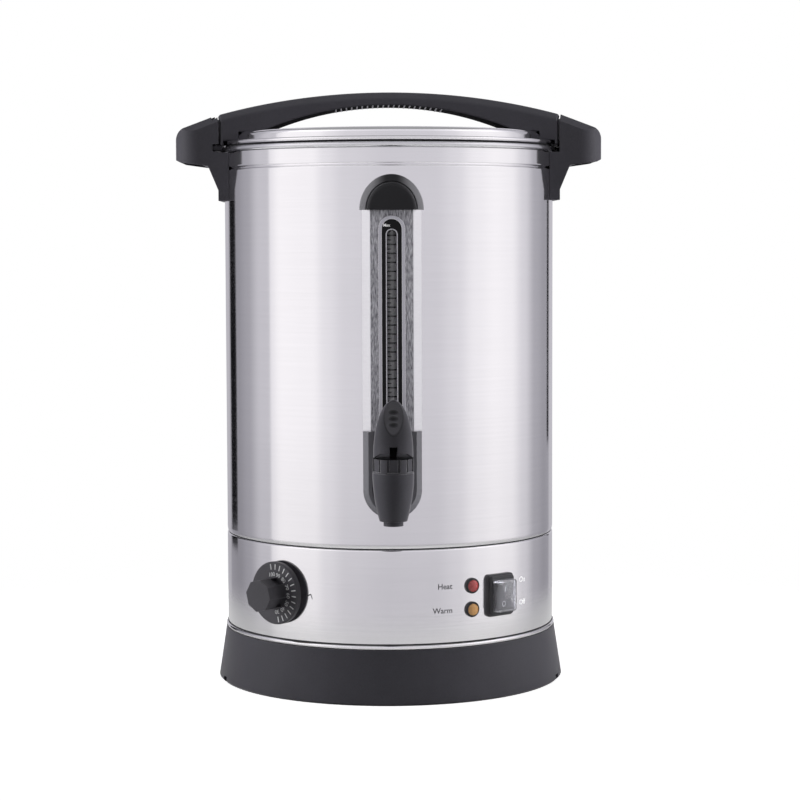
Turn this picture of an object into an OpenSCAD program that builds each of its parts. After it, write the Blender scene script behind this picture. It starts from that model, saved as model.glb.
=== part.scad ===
// Ten-litre coffee urn with a tap, a sight gauge, a thermostat dial and a twist-lock lid.
// Millimetres. The origin is on the urn's axis, on the surface it stands on. +Z is up and the tap faces -Y.

/* [Shells] */
// Outer diameter of the two shells
body_d = 250; // [244:1:262]
// Thickness of the shell sheet
sheet_t = 0.8; // [0.6:0.1:1.2]
// Height of the lower shell that shows between the bead and the seam
lower_shell_h = 69.3; // [66:0.1:80]
// Height of the upper shell from the seam to the rim
upper_shell_h = 287; // [280:1:340]
// Gap at the seam between the shells
seam_gap = 0.7; // [0.4:0.1:1.2]
// Depth of the lip that the upper shell slides over
seam_lip_h = 6; // [4:0.5:9]
// Distance of the neck groove below the upper shell's top edge
neck_h = 12; // [9:0.5:16]
// Radius of the rolled neck groove
groove_r = 1.3; // [0.8:0.1:1.8]

/* [Base] */
// Height of the moulded base skirt
base_h = 39.4; // [36:0.1:46]
// How far the base skirt's foot stands out from the shell
base_flare = 7; // [5:0.5:12]
// Wall of the base skirt
base_wall = 3; // [2.2:0.1:4]
// Chamfer at the skirt's lower edge
base_edge = 1.5; // [0.8:0.1:2.5]
// Height of the bright bead above the base
bead_h = 3.6; // [3:0.1:5]
// How far the bead stands out from the shell
bead_out = 1.3; // [0.8:0.1:2]
// Depth of the seat that the lower shell stands in
shelf_drop = 5.4; // [4:0.1:8]
// Thickness of the shelf under the lower shell
shelf_t = 3; // [2:0.1:4]
// Width of the shelf, inwards from the shell
shelf_w = 17; // [15:0.5:22]
// Thickness of the bottom plate
plate_t = 2.5; // [2:0.1:4]
// Height of the rubber feet
foot_h = 3; // [2:0.1:5]
// Diameter of a rubber foot
foot_d = 16; // [12:0.5:20]
// Distance of the feet inwards from the shell
foot_inset = 27; // [24:1:34]
// Distance of the bottom plate's screws inwards from the shell
base_screw_inset = 11; // [9.5:0.5:13]
// Width of the drain notches in the skirt's lower edge
notch_w = 8; // [5:0.5:12]
// Height of the drain notches
notch_h = 4.5; // [3:0.1:6]
// Angle of the drain notches from the front
notch_az = 73; // [65:1:80]

/* [Tank and lid] */
// Gap between the shell and the tank
tank_gap = 5.2; // [4.6:0.1:8]
// Wall of the tank
tank_t = 0.8; // [0.6:0.1:1.2]
// Height of the tank's floor above the seam
tank_up = 7; // [6.6:0.1:12]
// Radius of the tank's rolled rim
rim_roll_r = 1.9; // [1.4:0.1:2.4]
// How far the rolled rim stands out from the shell
rim_out = 3; // [2.4:0.1:3.6]
// Thickness of the lid's seal
seal_t = 0.8; // [0.5:0.1:1.2]
// Radius of the lid's rolled edge
lid_roll_r = 1.5; // [1.1:0.1:1.9]
// How far the lid's edge stands out from the shell
lid_out = 2; // [1.2:0.1:2.6]
// Width of the lid's flange, from its edge to its raised step
lid_flange_w = 9.8; // [9:0.2:14]
// Height of the lid's raised step above its flange
lid_step_h = 10; // [8:0.5:14]
// Radius of the upper edge of the lid's raised step
lid_corner_r = 4; // [2.5:0.1:5]
// Depth of the ring that locates the lid in the tank
lid_ring_h = 6; // [4:0.5:9]

/* [Handles] */
// Width of both side handles and of the lid handle's ends
handle_w = 70; // [64:1:80]
// Reach of a side handle beyond the shell
handle_reach = 35.7; // [33:0.1:44]
// Radius of a side handle's outer corners, seen from above
handle_corner_r = 18; // [12:1:22]
// Height of a side handle's upright outer face
handle_face_h = 13.6; // [12:0.1:18]
// Radius of a side handle's outer top edge
handle_top_r = 11; // [8:0.5:14]
// Width of the bevel along a side handle's outer lower edge
handle_low_bevel = 4; // [2:0.5:6]
// Wall round the finger pocket of a side handle
handle_wall = 3.2; // [2.6:0.1:4]
// Thickness of the ribs in the finger pocket
pocket_rib_t = 2; // [1.6:0.1:3]
// Thickness of a side handle's mounting plate
bracket_t = 3; // [2.6:0.1:4.5]
// Length of a side handle's bracket below its underside
bracket_h = 26; // [23:0.5:32]
// Height of the straight foot of the bracket
bracket_foot_h = 7.8; // [5:0.1:9]
// Clear width between the two webs of the bracket
bracket_clear_w = 56; // [50:1:58]
// Distance of the handle screws from the handle's middle
handle_screw_y = 15; // [12:0.5:20]
// Height of the lid handle's top above the lid
arch_rise = 30.2; // [28:0.1:40]
// Drop of the lid handle's top from its middle to its ends
arch_drop = 18.4; // [14:0.1:20]
// Thickness of the lid handle at its middle
arch_t = 9.7; // [9:0.1:14]
// Radius of the lid handle's arched underside
arch_under_r = 240; // [220:1:260]
// Width of the lid handle at its middle
arch_mid_w = 42; // [36:1:52]
// Chamfer along the lid handle's upper edges
arch_chamfer = 5; // [3:0.5:6]
// Gap between the lid handle's ends and the side handles
joint_gap = 1.3; // [0.8:0.1:1.8]
// Width of the lid's locking lugs
lug_w = 12; // [9:0.5:14]
// Height of the lid's locking lugs
lug_h = 3.6; // [3:0.1:4.2]
// Reach of a lug into the side handle
lug_reach = 4.5; // [3.5:0.1:5.5]
// Clearance around a lug
lug_play = 1; // [0.7:0.1:1.4]
// Front skin of the side handle that hides a lug
lug_skin_t = 2.5; // [2:0.1:3.5]
// Angle that the lid turns to lock
lock_angle = 10; // [8:1:12]
// Distance of the lid handle's screws inwards from the lid's step
lid_screw_inset = 11; // [9:0.5:14]
// Half the spacing of the lid handle's screws
lid_screw_y = 14; // [10:0.5:18]

/* [Sight gauge] */
// Width of the bright gauge channel
channel_w = 42.5; // [40:0.5:46]
// Height of the channel's lower end
channel_z = 198.6; // [195:0.1:205]
// How far the channel's ridges stand out from the shell
channel_out = 12.5; // [11.5:0.1:14]
// How far the channel's outer edges stand out from the shell
channel_edge_out = 9; // [7:0.1:10]
// How far the channel's recess floor stands out from the shell
recess_out = 9.5; // [9:0.1:10]
// Width of the channel's textured recess
recess_w = 30.4; // [28:0.2:33]
// Outer width of the oval frame in the recess
frame_w = 19; // [18:0.2:22]
// Width of the black scale strip
strip_w = 14; // [13:0.2:15]
// Thickness of the scale strip
strip_t = 1.2; // [0.8:0.1:1.6]
// Width of the window in the scale strip
window_w = 7.8; // [7.6:0.1:9]
// Outer diameter of the gauge tube
tube_d = 6.4; // [6:0.1:6.6]
// Bore of the gauge tube
tube_bore_d = 4.6; // [4:0.1:5]
// How far the gauge tube's axis lies from the shell
tube_out = 5.7; // [5.5:0.1:5.8]
// Distance of the gauge cap's underside below the upper shell's top edge
cap_drop = 44.5; // [40:0.5:54]
// Diameter of the half-round gauge cap
cap_d = 45; // [44:0.5:50]
// How far the gauge cap stands out from the shell
cap_out = 16.8; // [16:0.1:20]

/* [Tap] */
// Height of the tap's inlet
shank_z = 157; // [154:0.5:160]
// Distance of the spout's axis from the shell
tap_out = 42; // [38:0.5:50]
// Width of the tap's escutcheon
escutcheon_w = 41.8; // [40:0.2:45]
// How far the escutcheon stands out from the shell
escutcheon_out = 15; // [14.5:0.1:17]
// Bevel round the escutcheon
escutcheon_bevel = 3.8; // [2.5:0.1:5]
// Outer diameter of the tap's shank
shank_d = 16; // [14:0.5:17]
// Bore of the tap's shank
shank_bore_d = 9; // [8:0.5:10]
// Diameter of the spout at its top
spout_top_d = 29.2; // [28:0.2:32]
// Diameter of the spout at its lower end
spout_low_d = 19.4; // [18:0.2:22]
// Height of the spout's top above the shank
spout_up = 15.5; // [14:0.1:18]
// Height of the tapering spout
spout_h = 33.9; // [32:0.1:38]
// Diameter of the nozzle
nozzle_d = 14; // [12:0.2:16]
// Length of the nozzle below the spout
nozzle_h = 3.4; // [2:0.1:6]
// Bore of the nozzle
nozzle_bore_d = 9; // [7:0.2:10]
// Diameter of the valve chamber in the spout
chamber_d = 18; // [16.5:0.1:18.6]
// Height of the valve seat above the spout's lower end
seat_up = 10.5; // [9:0.1:12]
// Diameter of the ribbed bonnet
bonnet_d = 28.6; // [27:0.2:29.2]
// Height of the bonnet's collar
bonnet_h = 10; // [8:0.1:12]
// Number of grooves round the bonnet
bonnet_grooves = 6; // [4:1:6]
// Diameter of the valve stem
stem_d = 5; // [4:0.1:6]
// Diameter of the stem's seal cup
cup_d = 15; // [13:0.1:15.6]
// Height of the stem's seal cup
cup_h = 6; // [4:0.1:7]
// Wire diameter of the tap's return spring
spring_wire_d = 1.1; // [0.8:0.1:1.3]
// Mean diameter of the tap's return spring
spring_d = 9; // [8:0.1:10]
// Number of turns of the return spring
spring_turns = 4; // [3:1:5]
// Width of the lever at its foot
lever_w = 28.1; // [26:0.1:29]
// Height of the lever
lever_h = 40.6; // [38:0.1:48]
// Gap between the bonnet and the lever
lever_gap = 1.4; // [1.2:0.1:2]
// Wall of the hollow lever
lever_wall = 2.4; // [2:0.1:3]
// Lean of the lever's tip towards the front
lever_lean = 8; // [4:0.5:12]
// Height of the lever's pin above the bonnet
pin_up = 8.4; // [8:0.1:10]
// Diameter of the lever's pin
pin_d = 3; // [2.5:0.1:3.5]

/* [Controls] */
// Angle of the thermostat dial, to the left of the front
dial_az = 41; // [38:0.5:44]
// Height of the thermostat dial
dial_z = 77.5; // [74:0.5:82]
// Diameter of the dial's skirt
dial_d = 46; // [42:0.5:50]
// Thickness of the dial's skirt
dial_skirt_t = 3.8; // [3.4:0.1:5]
// Height of the dial's octagonal grip
grip_h = 17.3; // [14:0.1:22]
// Width of the dial's grip across its flats
grip_w = 22; // [18:0.5:26]
// Angle of the grip's flats against the dial's pointer line
grip_turn = 14.4; // [0:0.1:22]
// Diameter of the thermostat's shaft
shaft_d = 6; // [5:0.1:7]
// Gap between the dial and the shell
dial_gap = 2.4; // [1.6:0.1:3]
// Angle of the pilot lamps, to the right of the front
lamp_az = 27.4; // [25:0.1:28]
// Height of the red heating lamp
red_lamp_z = 84; // [82:0.5:88]
// Height of the amber keep-warm lamp
amber_lamp_z = 66.7; // [62:0.1:69]
// Diameter of a lamp's bezel
lamp_d = 11.4; // [10:0.1:12.5]
// Diameter of a lamp's lens
lens_d = 8.4; // [7:0.1:9.4]
// Angle of the power switch, to the right of the front
switch_az = 38.6; // [38:0.1:42]
// Height of the power switch
switch_z = 75.3; // [73:0.1:78]
// Width of the switch's bezel
switch_w = 25.5; // [24:0.1:27]
// Height of the switch's bezel
switch_h = 31; // [29:0.1:34]
// Thickness of the switch's bezel
switch_t = 4.2; // [3.5:0.1:5]
// Width of the switch's clear cover
cover_w = 19; // [18:0.1:20]
// Height of the switch's clear cover
cover_h = 23.5; // [22:0.1:25]
// How far the clear cover stands out from the bezel
cover_out = 5.6; // [5:0.1:7]
// Angle that the switch's rocker turns through
rocker_swing = 16; // [12:1:20]
// Height of the power inlet
inlet_z = 77; // [74:0.5:80]
// Height of the power inlet's flange
inlet_h = 50; // [46:0.5:54]
// Width of the power inlet's flange
inlet_w = 24; // [22:0.5:28]
// Spacing of the power inlet's screws
inlet_screw_pitch = 40; // [38:0.5:42]

/* [Hidden] */
$fn = 96;

// Clearances shared by every pair of pieces
fit = 0.1;
run = 0.05;
seat = 0.3;
over = 1;

// Heights, from the surface up
plate_top = foot_h + plate_t;
shelf_z = base_h - shelf_drop;
lower_z = base_h + bead_h;
seam_z = lower_z + lower_shell_h;
upper_z = seam_z + seam_gap;
shell_top = upper_z + upper_shell_h;
groove_z = shell_top - neck_h;
rim_z = shell_top + seat + rim_roll_r;
rim_top = rim_z + rim_roll_r;
seal_z = rim_top + seat;
lid_z = seal_z + seal_t;
lid_top = lid_z + lid_step_h;
tank_z = seam_z + tank_up;

// Radii, from the axis out
shell_r = body_d / 2;
shell_in_r = shell_r - sheet_t;
tank_r = shell_in_r - tank_gap;
tank_in_r = tank_r - tank_t;
rim_r = shell_r + rim_out;
lid_r = shell_r + lid_out;
lid_step_r = lid_r - lid_flange_w;
joint_r = rim_r + 3;
pocket_r = joint_r + joint_gap;
base_top_r = shell_r + bead_out;
base_r = shell_r + base_flare;
base_screw_r = shell_r - base_screw_inset;
lid_screw_x = lid_step_r - lid_screw_inset;

module ring(outer_r, inner_r, h) {
    difference() {
        cylinder(r = outer_r, h = h);
        translate([0, 0, -over])
            cylinder(r = inner_r, h = h + 2 * over);
    }
}

// Turns a piece drawn flat, with its own Z outwards and Y upwards, to face out of the shell at an angle
// from the front. Its own Z counts from the urn's axis.
module on_shell(az, z) {
    rotate([0, 0, az])
        translate([0, 0, z])
            rotate([90, 0, 0])
                children();
}

module around(count, start = 0) {
    for (i = [0 : count - 1])
        rotate([0, 0, start + i * 360 / count])
            children();
}

// Base

base_screw_d = 3;
base_boss_d = 11;
base_screw_l = 16;
base_head_d = 7;
base_head_h = 1.2;
skirt_low_in_r = base_r - base_edge - base_wall;

module base_skirt() {
    color([0.24, 0.23, 0.26])
        difference() {
            union() {
                rotate_extrude()
                    polygon([
                        [skirt_low_in_r, 0],
                        [base_r - base_edge, 0],
                        [base_r, base_edge],
                        [base_top_r, base_h],
                        [shell_r + fit, base_h],
                        [shell_r + fit, shelf_z],
                        [shell_r - shelf_w, shelf_z],
                        [shell_r - shelf_w, shelf_z - shelf_t],
                        [shell_r - base_wall, shelf_z - shelf_t]
                    ]);
                around(4, 45)
                    translate([base_screw_r, 0, plate_top])
                        cylinder(d = base_boss_d, h = shelf_z - shelf_t / 2 - plate_top);
            }
            around(4, 45)
                translate([base_screw_r, 0, plate_top - over])
                    cylinder(d = base_screw_d + 2 * fit, h = base_screw_l + over);
            for (side = [-1, 1])
                rotate([0, 0, side * notch_az])
                    translate([-notch_w / 2, -base_r - over, -over])
                        cube([notch_w, base_wall + 4 * base_edge + over, notch_h + over]);
        }
}

vent_count = 5;
vent_pitch = 11;
vent_w = 4;
vent_l = 46;

module base_plate() {
    plate_r = skirt_low_in_r - 2 * seat - base_edge;
    color([0.2, 0.2, 0.22])
        difference() {
            translate([0, 0, foot_h])
                cylinder(r = plate_r, h = plate_t);
            around(4, 45)
                translate([base_screw_r, 0, 0]) {
                    cylinder(d = base_screw_d + 4 * fit, h = plate_top + over);
                    cylinder(d = base_head_d + 4 * fit, h = foot_h + base_head_h);
                }
            for (i = [0 : vent_count - 1])
                translate([(i - (vent_count - 1) / 2) * vent_pitch - vent_w / 2, -vent_l / 2, 0])
                    cube([vent_w, vent_l, plate_top + over]);
        }
}

module base_feet() {
    color([0.1, 0.1, 0.1])
        around(4)
            translate([(shell_r - foot_inset), 0, 0])
                rotate_extrude()
                    polygon([[0, 0], [foot_d / 2 - 1, 0], [foot_d / 2, foot_h], [0, foot_h]]);
}

module base_screws() {
    color([0.7, 0.7, 0.72])
        around(4, 45)
            translate([base_screw_r, 0, foot_h]) {
                cylinder(d = base_head_d, h = base_head_h);
                cylinder(d = base_screw_d, h = plate_t + base_screw_l - over);
            }
}

module base_bead() {
    color([0.82, 0.82, 0.84])
        rotate_extrude()
            intersection() {
                translate([shell_r + bead_out - bead_h / 2, base_h + bead_h / 2])
                    circle(d = bead_h);
                translate([shell_r + run, base_h])
                    square([bead_h, bead_h]);
            }
}

// Shells and tank

switch_body_w = switch_w - 3.5;
switch_body_h = switch_h - 3;
inlet_body_w = inlet_w - 5;
inlet_body_h = 27.5;
bushing_d = shaft_d + 4;
lamp_stem_d = lens_d - 0.8;

module lower_shell() {
    color([0.78, 0.78, 0.8])
        difference() {
            rotate_extrude()
                polygon([
                    [shell_in_r, shelf_z],
                    [shell_r, shelf_z],
                    [shell_r, seam_z],
                    [shell_in_r - fit, seam_z],
                    [shell_in_r - fit, upper_z + seam_lip_h],
                    [shell_in_r - fit - sheet_t, upper_z + seam_lip_h],
                    [shell_in_r - fit - sheet_t, seam_z - seam_lip_h],
                    [shell_in_r, seam_z - seam_lip_h]
                ]);
            on_shell(-dial_az, dial_z)
                cylinder(d = bushing_d + 2 * fit, h = shell_r + over);
            for (z = [red_lamp_z, amber_lamp_z])
                on_shell(lamp_az, z)
                    cylinder(d = lamp_stem_d + 2 * fit, h = shell_r + over);
            on_shell(switch_az, switch_z)
                translate([-switch_body_w / 2 - fit, -switch_body_h / 2 - fit, 0])
                    cube([switch_body_w + 2 * fit, switch_body_h + 2 * fit, shell_r + over]);
            on_shell(180, inlet_z) {
                translate([-inlet_body_w / 2 - fit, -inlet_body_h / 2 - fit, 0])
                    cube([inlet_body_w + 2 * fit, inlet_body_h + 2 * fit, shell_r + over]);
                for (side = [-1, 1])
                    translate([0, side * inlet_screw_pitch / 2, 0])
                        cylinder(d = inlet_screw_d + 2 * fit, h = shell_r + over);
            }
        }
}

handle_screw_d = 4;
sight_screw_d = 4;
vent_hole_d = 5;

module upper_shell() {
    color([0.8, 0.8, 0.82])
        difference() {
            rotate_extrude()
                difference() {
                    union() {
                        translate([shell_in_r, upper_z])
                            square([sheet_t, upper_shell_h]);
                        intersection() {
                            translate([shell_r + seat, groove_z])
                                circle(r = groove_r + sheet_t);
                            translate([0, groove_z - neck_h / 2])
                                square([shell_r, neck_h]);
                        }
                    }
                    translate([shell_r + seat, groove_z])
                        circle(r = groove_r);
                }
            on_shell(0, shank_z)
                cylinder(d = shank_d + 2 * fit, h = shell_r + over);
            for (spot = sight_screw_spots)
                on_shell(0, spot[1])
                    translate([spot[0], 0, 0])
                        cylinder(d = sight_screw_d + 2 * fit, h = shell_r + over);
            for (side = [-1, 1], y = [-1, 1])
                translate([0, y * handle_screw_y, handle_screw_z])
                    rotate([0, side * 90, 0])
                        cylinder(d = handle_screw_d + 2 * fit, h = shell_r + over);
        }
}

module tank() {
    color([0.72, 0.72, 0.74])
        difference() {
            rotate_extrude() {
                translate([0, tank_z])
                    square([tank_r, tank_t]);
                translate([tank_in_r, tank_z])
                    square([tank_t, rim_top - tank_z]);
                translate([tank_in_r, rim_top - tank_t])
                    square([rim_r - rim_roll_r - tank_in_r, tank_t]);
                translate([rim_r - rim_roll_r, rim_z])
                    circle(r = rim_roll_r);
            }
            on_shell(0, shank_z)
                cylinder(d = shank_d + 2 * fit, h = shell_r);
        }
}

// Heating and control pieces inside the lower shell

heater_d = 150;
heater_h = 6;
heater_ring_d = 108;
heater_ring_wire_d = 9;
terminal_az = 24;
blade_w = 6.3;
blade_t = 0.8;
blade_l = 14;
collar_d = 9;
collar_h = 7;

module heater_plate() {
    color([0.6, 0.6, 0.62]) {
        translate([0, 0, tank_z - heater_h])
            cylinder(d = heater_d, h = heater_h);
        translate([0, 0, tank_z - heater_h])
            rotate_extrude()
                translate([heater_ring_d / 2, 0])
                    circle(d = heater_ring_wire_d);
    }
}

module heater_terminals() {
    ring_low_z = tank_z - heater_h - heater_ring_wire_d / 2;
    color([0.75, 0.72, 0.65])
        for (side = [-1, 1])
            rotate([0, 0, 90 + side * terminal_az])
                translate([heater_ring_d / 2, 0, ring_low_z - collar_h]) {
                    cylinder(d = collar_d, h = collar_h);
                    translate([-blade_w / 2, -blade_t / 2, -blade_l])
                        cube([blade_w, blade_t, blade_l + over]);
                }
}

cutout_d = 18;
cutout_h = 10;

module thermal_cutout() {
    color([0.15, 0.13, 0.12])
        translate([0, 0, tank_z - heater_h - cutout_h]) {
            cylinder(d = cutout_d, h = cutout_h);
            translate([-cutout_d, -blade_w / 2, cutout_h / 2])
                cube([2 * cutout_d, blade_w, blade_t]);
        }
}

thermostat_w = 34;
thermostat_h = 28;
thermostat_t = 18;
thermostat_front = 6;

module thermostat_body() {
    back = shell_in_r - thermostat_front - thermostat_t;
    color([0.85, 0.83, 0.78])
        on_shell(-dial_az, dial_z)
            difference() {
                union() {
                    translate([-thermostat_w / 2, -thermostat_h / 2, back])
                        cube([thermostat_w, thermostat_h, thermostat_t]);
                    translate([0, 0, back])
                        cylinder(d = bushing_d + 6, h = shell_in_r - back - 2 * seat);
                    translate([0, 0, back])
                        cylinder(d = bushing_d, h = shell_r + nut_h - back);
                }
                translate([0, 0, back + over])
                    cylinder(d = shaft_d + 2 * run, h = shell_r);
            }
}

nut_h = 2.4;
nut_across = 16;

module thermostat_nut() {
    color([0.7, 0.65, 0.5])
        on_shell(-dial_az, dial_z)
            translate([0, 0, shell_r])
                difference() {
                    cylinder(d = nut_across, h = nut_h, $fn = 6);
                    translate([0, 0, -over])
                        cylinder(d = bushing_d + 2 * fit, h = nut_h + 2 * over);
                }
}

bulb_d = 6;
bulb_l = 60;
bulb_x = 34;

module thermostat_bulb() {
    color([0.72, 0.45, 0.3])
        translate([-bulb_x, bulb_l / 2, tank_z - heater_h - bulb_d / 2])
            rotate([90, 0, 0])
                cylinder(d = bulb_d, h = bulb_l);
}

lamp_bezel_t = 2.2;
lens_dome_h = 1.6;
lamp_l = 22;
lamp_nut_d = 13;
lamp_nut_h = 3;

module lamp_bezels() {
    color([0.12, 0.12, 0.13])
        for (z = [red_lamp_z, amber_lamp_z])
            on_shell(lamp_az, z)
                translate([0, 0, shell_r + run])
                    rotate_extrude()
                        polygon([
                            [lamp_stem_d / 2 + fit, 0],
                            [lamp_d / 2, 0],
                            [lamp_d / 2, lamp_bezel_t / 2],
                            [lens_d / 2 + fit + run, lamp_bezel_t],
                            [lens_d / 2 + fit, lamp_bezel_t / 2],
                            [lamp_stem_d / 2 + fit, lamp_bezel_t / 2]
                        ]);
}

module lamp_lens(z) {
    on_shell(lamp_az, z) {
        dome_r = (pow(lens_d / 2, 2) + pow(lens_dome_h, 2)) / (2 * lens_dome_h);
        translate([0, 0, shell_r + run + lamp_bezel_t / 2])
            rotate_extrude()
                intersection() {
                    translate([0, lens_dome_h + lamp_bezel_t / 2 - dome_r])
                        circle(r = dome_r);
                    square([lens_d / 2, lamp_bezel_t + lens_dome_h]);
                }
        translate([0, 0, shell_r - lamp_l])
            cylinder(d = lamp_stem_d, h = lamp_l + run + lamp_bezel_t / 2);
    }
}

module lamp_lens_red() {
    color([0.72, 0.1, 0.08])
        lamp_lens(red_lamp_z);
}

module lamp_lens_amber() {
    color([0.9, 0.55, 0.15])
        lamp_lens(amber_lamp_z);
}

module lamp_nuts() {
    color([0.8, 0.8, 0.78])
        for (z = [red_lamp_z, amber_lamp_z])
            on_shell(lamp_az, z)
                translate([0, 0, shell_in_r - lamp_nut_h - seat])
                    ring(lamp_nut_d / 2, lamp_stem_d / 2 + fit, lamp_nut_h);
}

// Power switch and inlet

switch_depth = 24;
rocker_w = 15;
rocker_h = 20;
rocker_in = 4;
rocker_proud = 3.2;
rocker_pin_d = 2.4;
cover_t = 1;
switch_front = shell_r + run + switch_t;
rocker_axis = switch_front - rocker_in;

module switch_housing() {
    mouth_w = rocker_w + 2 * seat;
    mouth_h = rocker_h + 4 * seat;
    color([0.13, 0.13, 0.14])
        on_shell(switch_az, switch_z)
            difference() {
                union() {
                    translate([-switch_w / 2, -switch_h / 2, shell_r + run])
                        cube([switch_w, switch_h, switch_t - over]);
                    translate([-switch_w / 2 + over, -switch_h / 2 + over, shell_r + run])
                        cube([switch_w - 2 * over, switch_h - 2 * over, switch_t]);
                    translate([-switch_body_w / 2, -switch_body_h / 2, switch_front - switch_depth])
                        cube([switch_body_w, switch_body_h, switch_depth - switch_t + over]);
                }
                translate([-mouth_w / 2, -mouth_h / 2, rocker_axis - rocker_h / 2])
                    cube([mouth_w, mouth_h, rocker_h]);
                translate([-switch_body_w / 2 + over, 0, rocker_axis])
                    rotate([0, 90, 0])
                        cylinder(d = rocker_pin_d + 2 * run, h = switch_body_w - 2 * over);
            }
}

module switch_rocker() {
    color([0.2, 0.2, 0.22])
        on_shell(switch_az, switch_z)
            translate([0, 0, rocker_axis])
                rotate([rocker_swing / 2, 0, 0]) {
                    rotate([90, 0, 90])
                        translate([0, 0, -rocker_w / 2])
                            linear_extrude(rocker_w)
                                polygon([
                                    [-rocker_h / 2 + over, -rocker_in],
                                    [rocker_h / 2 - over, -rocker_in],
                                    [rocker_h / 2 - over / 2, rocker_in + rocker_proud - over],
                                    [0, rocker_in + over],
                                    [-rocker_h / 2 + over / 2, rocker_in + rocker_proud - over]
                                ]);
                    translate([-rocker_w / 2 - over, 0, 0])
                        rotate([0, 90, 0])
                            cylinder(d = rocker_pin_d, h = rocker_w + 2 * over);
                }
}

module switch_cover() {
    color([0.75, 0.77, 0.8, 0.5])
        on_shell(switch_az, switch_z)
            translate([0, 0, switch_front])
                difference() {
                    union() {
                        translate([-cover_w / 2, -cover_h / 2, 0])
                            cube([cover_w, cover_h, cover_out - cover_t]);
                        translate([-cover_w / 2 + cover_t, -cover_h / 2 + cover_t, 0])
                            cube([cover_w - 2 * cover_t, cover_h - 2 * cover_t, cover_out]);
                    }
                    translate([-cover_w / 2 + cover_t, -cover_h / 2 + cover_t, -over])
                        cube([cover_w - 2 * cover_t, cover_h - 2 * cover_t, cover_out - cover_t + over]);
                }
}

inlet_flange_t = 2.6;
inlet_depth = 30;
socket_w = 16;
socket_h = 24;
socket_depth = 17;
inlet_screw_d = 3;
pin_w = 2;
pin_h = 4;
pin_l = 15;
pin_pitch = 7;
pin_step = 4;

module inlet_socket() {
    color([0.1, 0.1, 0.11])
        on_shell(180, inlet_z)
            difference() {
                union() {
                    translate([-inlet_w / 2, -inlet_h / 2, shell_r + run])
                        cube([inlet_w, inlet_h, inlet_flange_t]);
                    translate([-inlet_body_w / 2, -inlet_body_h / 2, shell_r - inlet_depth])
                        cube([inlet_body_w, inlet_body_h, inlet_depth + over]);
                }
                translate([-socket_w / 2, -socket_h / 2, shell_r + inlet_flange_t - socket_depth])
                    cube([socket_w, socket_h, socket_depth + over]);
                for (side = [-1, 1])
                    translate([0, side * inlet_screw_pitch / 2, 0])
                        cylinder(d = inlet_screw_d + 2 * fit, h = shell_r + inlet_flange_t + over);
            }
}

module inlet_pins() {
    floor_z = shell_r + inlet_flange_t - socket_depth;
    color([0.8, 0.78, 0.7])
        on_shell(180, inlet_z)
            for (i = [-1 : 1])
                translate([(i == 0 ? pin_step : -pin_step) / 2, i * pin_pitch, floor_z])
                    translate([-pin_w / 2, -pin_h / 2, 0])
                        cube([pin_w, pin_h, pin_l]);
}

module inlet_screws() {
    color([0.7, 0.7, 0.72])
        on_shell(180, inlet_z)
            for (side = [-1, 1])
                translate([0, side * inlet_screw_pitch / 2, shell_r + run + inlet_flange_t]) {
                    cylinder(d = 2 * inlet_screw_d, h = inlet_screw_d / 2);
                    translate([0, 0, -4 * inlet_screw_d])
                        cylinder(d = inlet_screw_d, h = 4 * inlet_screw_d + over);
                }
}

// Sight gauge

tube_r = shell_r + tube_out;
cap_z = shell_top - cap_drop;
channel_top = cap_z;
frame_top_gap = 4;
frame_lift = 2.2;
back_web = 1.4;
socket_wall = 1.8;
socket_up = 19;
seal_ring_h = 3;
cap_screw_up = 13;
cap_screw_z = cap_z + cap_screw_up;
escutcheon_screw_z = shank_z + 29;
escutcheon_screw_x = 12.5;
sight_screw_spots = [
    [0, cap_screw_z],
    [-escutcheon_screw_x, escutcheon_screw_z],
    [escutcheon_screw_x, escutcheon_screw_z]
];
cap_bore_h = 8;

// Outline with straight sides and a round top, standing on the line y = 0
module arched(w, h) {
    translate([-w / 2, 0])
        square([w, h - w / 2]);
    translate([0, h - w / 2])
        circle(d = w);
}

module sight_channel() {
    len = channel_top - channel_z;
    frame_h = len - frame_top_gap;
    color([0.84, 0.84, 0.86])
        difference() {
            union() {
                translate([0, 0, channel_z])
                    linear_extrude(len)
                        polygon([
                            [-channel_w / 2, -shell_r + 3 * over],
                            [-channel_w / 2, -shell_r - channel_edge_out],
                            [-recess_w / 2, -shell_r - channel_out],
                            [-recess_w / 2, -shell_r - recess_out],
                            [recess_w / 2, -shell_r - recess_out],
                            [recess_w / 2, -shell_r - channel_out],
                            [channel_w / 2, -shell_r - channel_edge_out],
                            [channel_w / 2, -shell_r + 3 * over]
                        ]);
                on_shell(0, channel_z)
                    translate([0, 0, shell_r + recess_out - over])
                        linear_extrude(frame_lift + over)
                            difference() {
                                arched(frame_w, frame_h);
                                translate([0, -over])
                                    arched(strip_w + 2 * fit, frame_h - (frame_w - strip_w) / 2 + over);
                            }
            }
            translate([0, 0, channel_z - over])
                cylinder(r = shell_r + fit, h = len + 2 * over);
            on_shell(0, channel_z - over)
                translate([0, 0, shell_r + back_web])
                    linear_extrude(recess_out)
                        arched(window_w, len + over - 2 * frame_top_gap);
            translate([0, -tube_r, channel_z])
                cylinder(d = tube_d + seat, h = len + over);
        }
}

module sight_scale() {
    len = channel_top - channel_z - frame_top_gap - (frame_w - strip_w) / 2;
    color([0.05, 0.05, 0.05])
        on_shell(0, channel_z)
            translate([0, 0, shell_r + recess_out])
                linear_extrude(strip_t)
                    difference() {
                        arched(strip_w, len);
                        translate([0, -over])
                            arched(window_w, len + over - frame_top_gap - (strip_w - window_w) / 2);
                    }
}

module sight_tube() {
    low = shank_z + shank_d / 2 + seal_ring_h;
    color([0.85, 0.88, 0.9, 0.6])
        translate([0, -tube_r, low])
            ring(tube_d / 2, tube_bore_d / 2, cap_z + cap_bore_h - seat - low);
}

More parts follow.
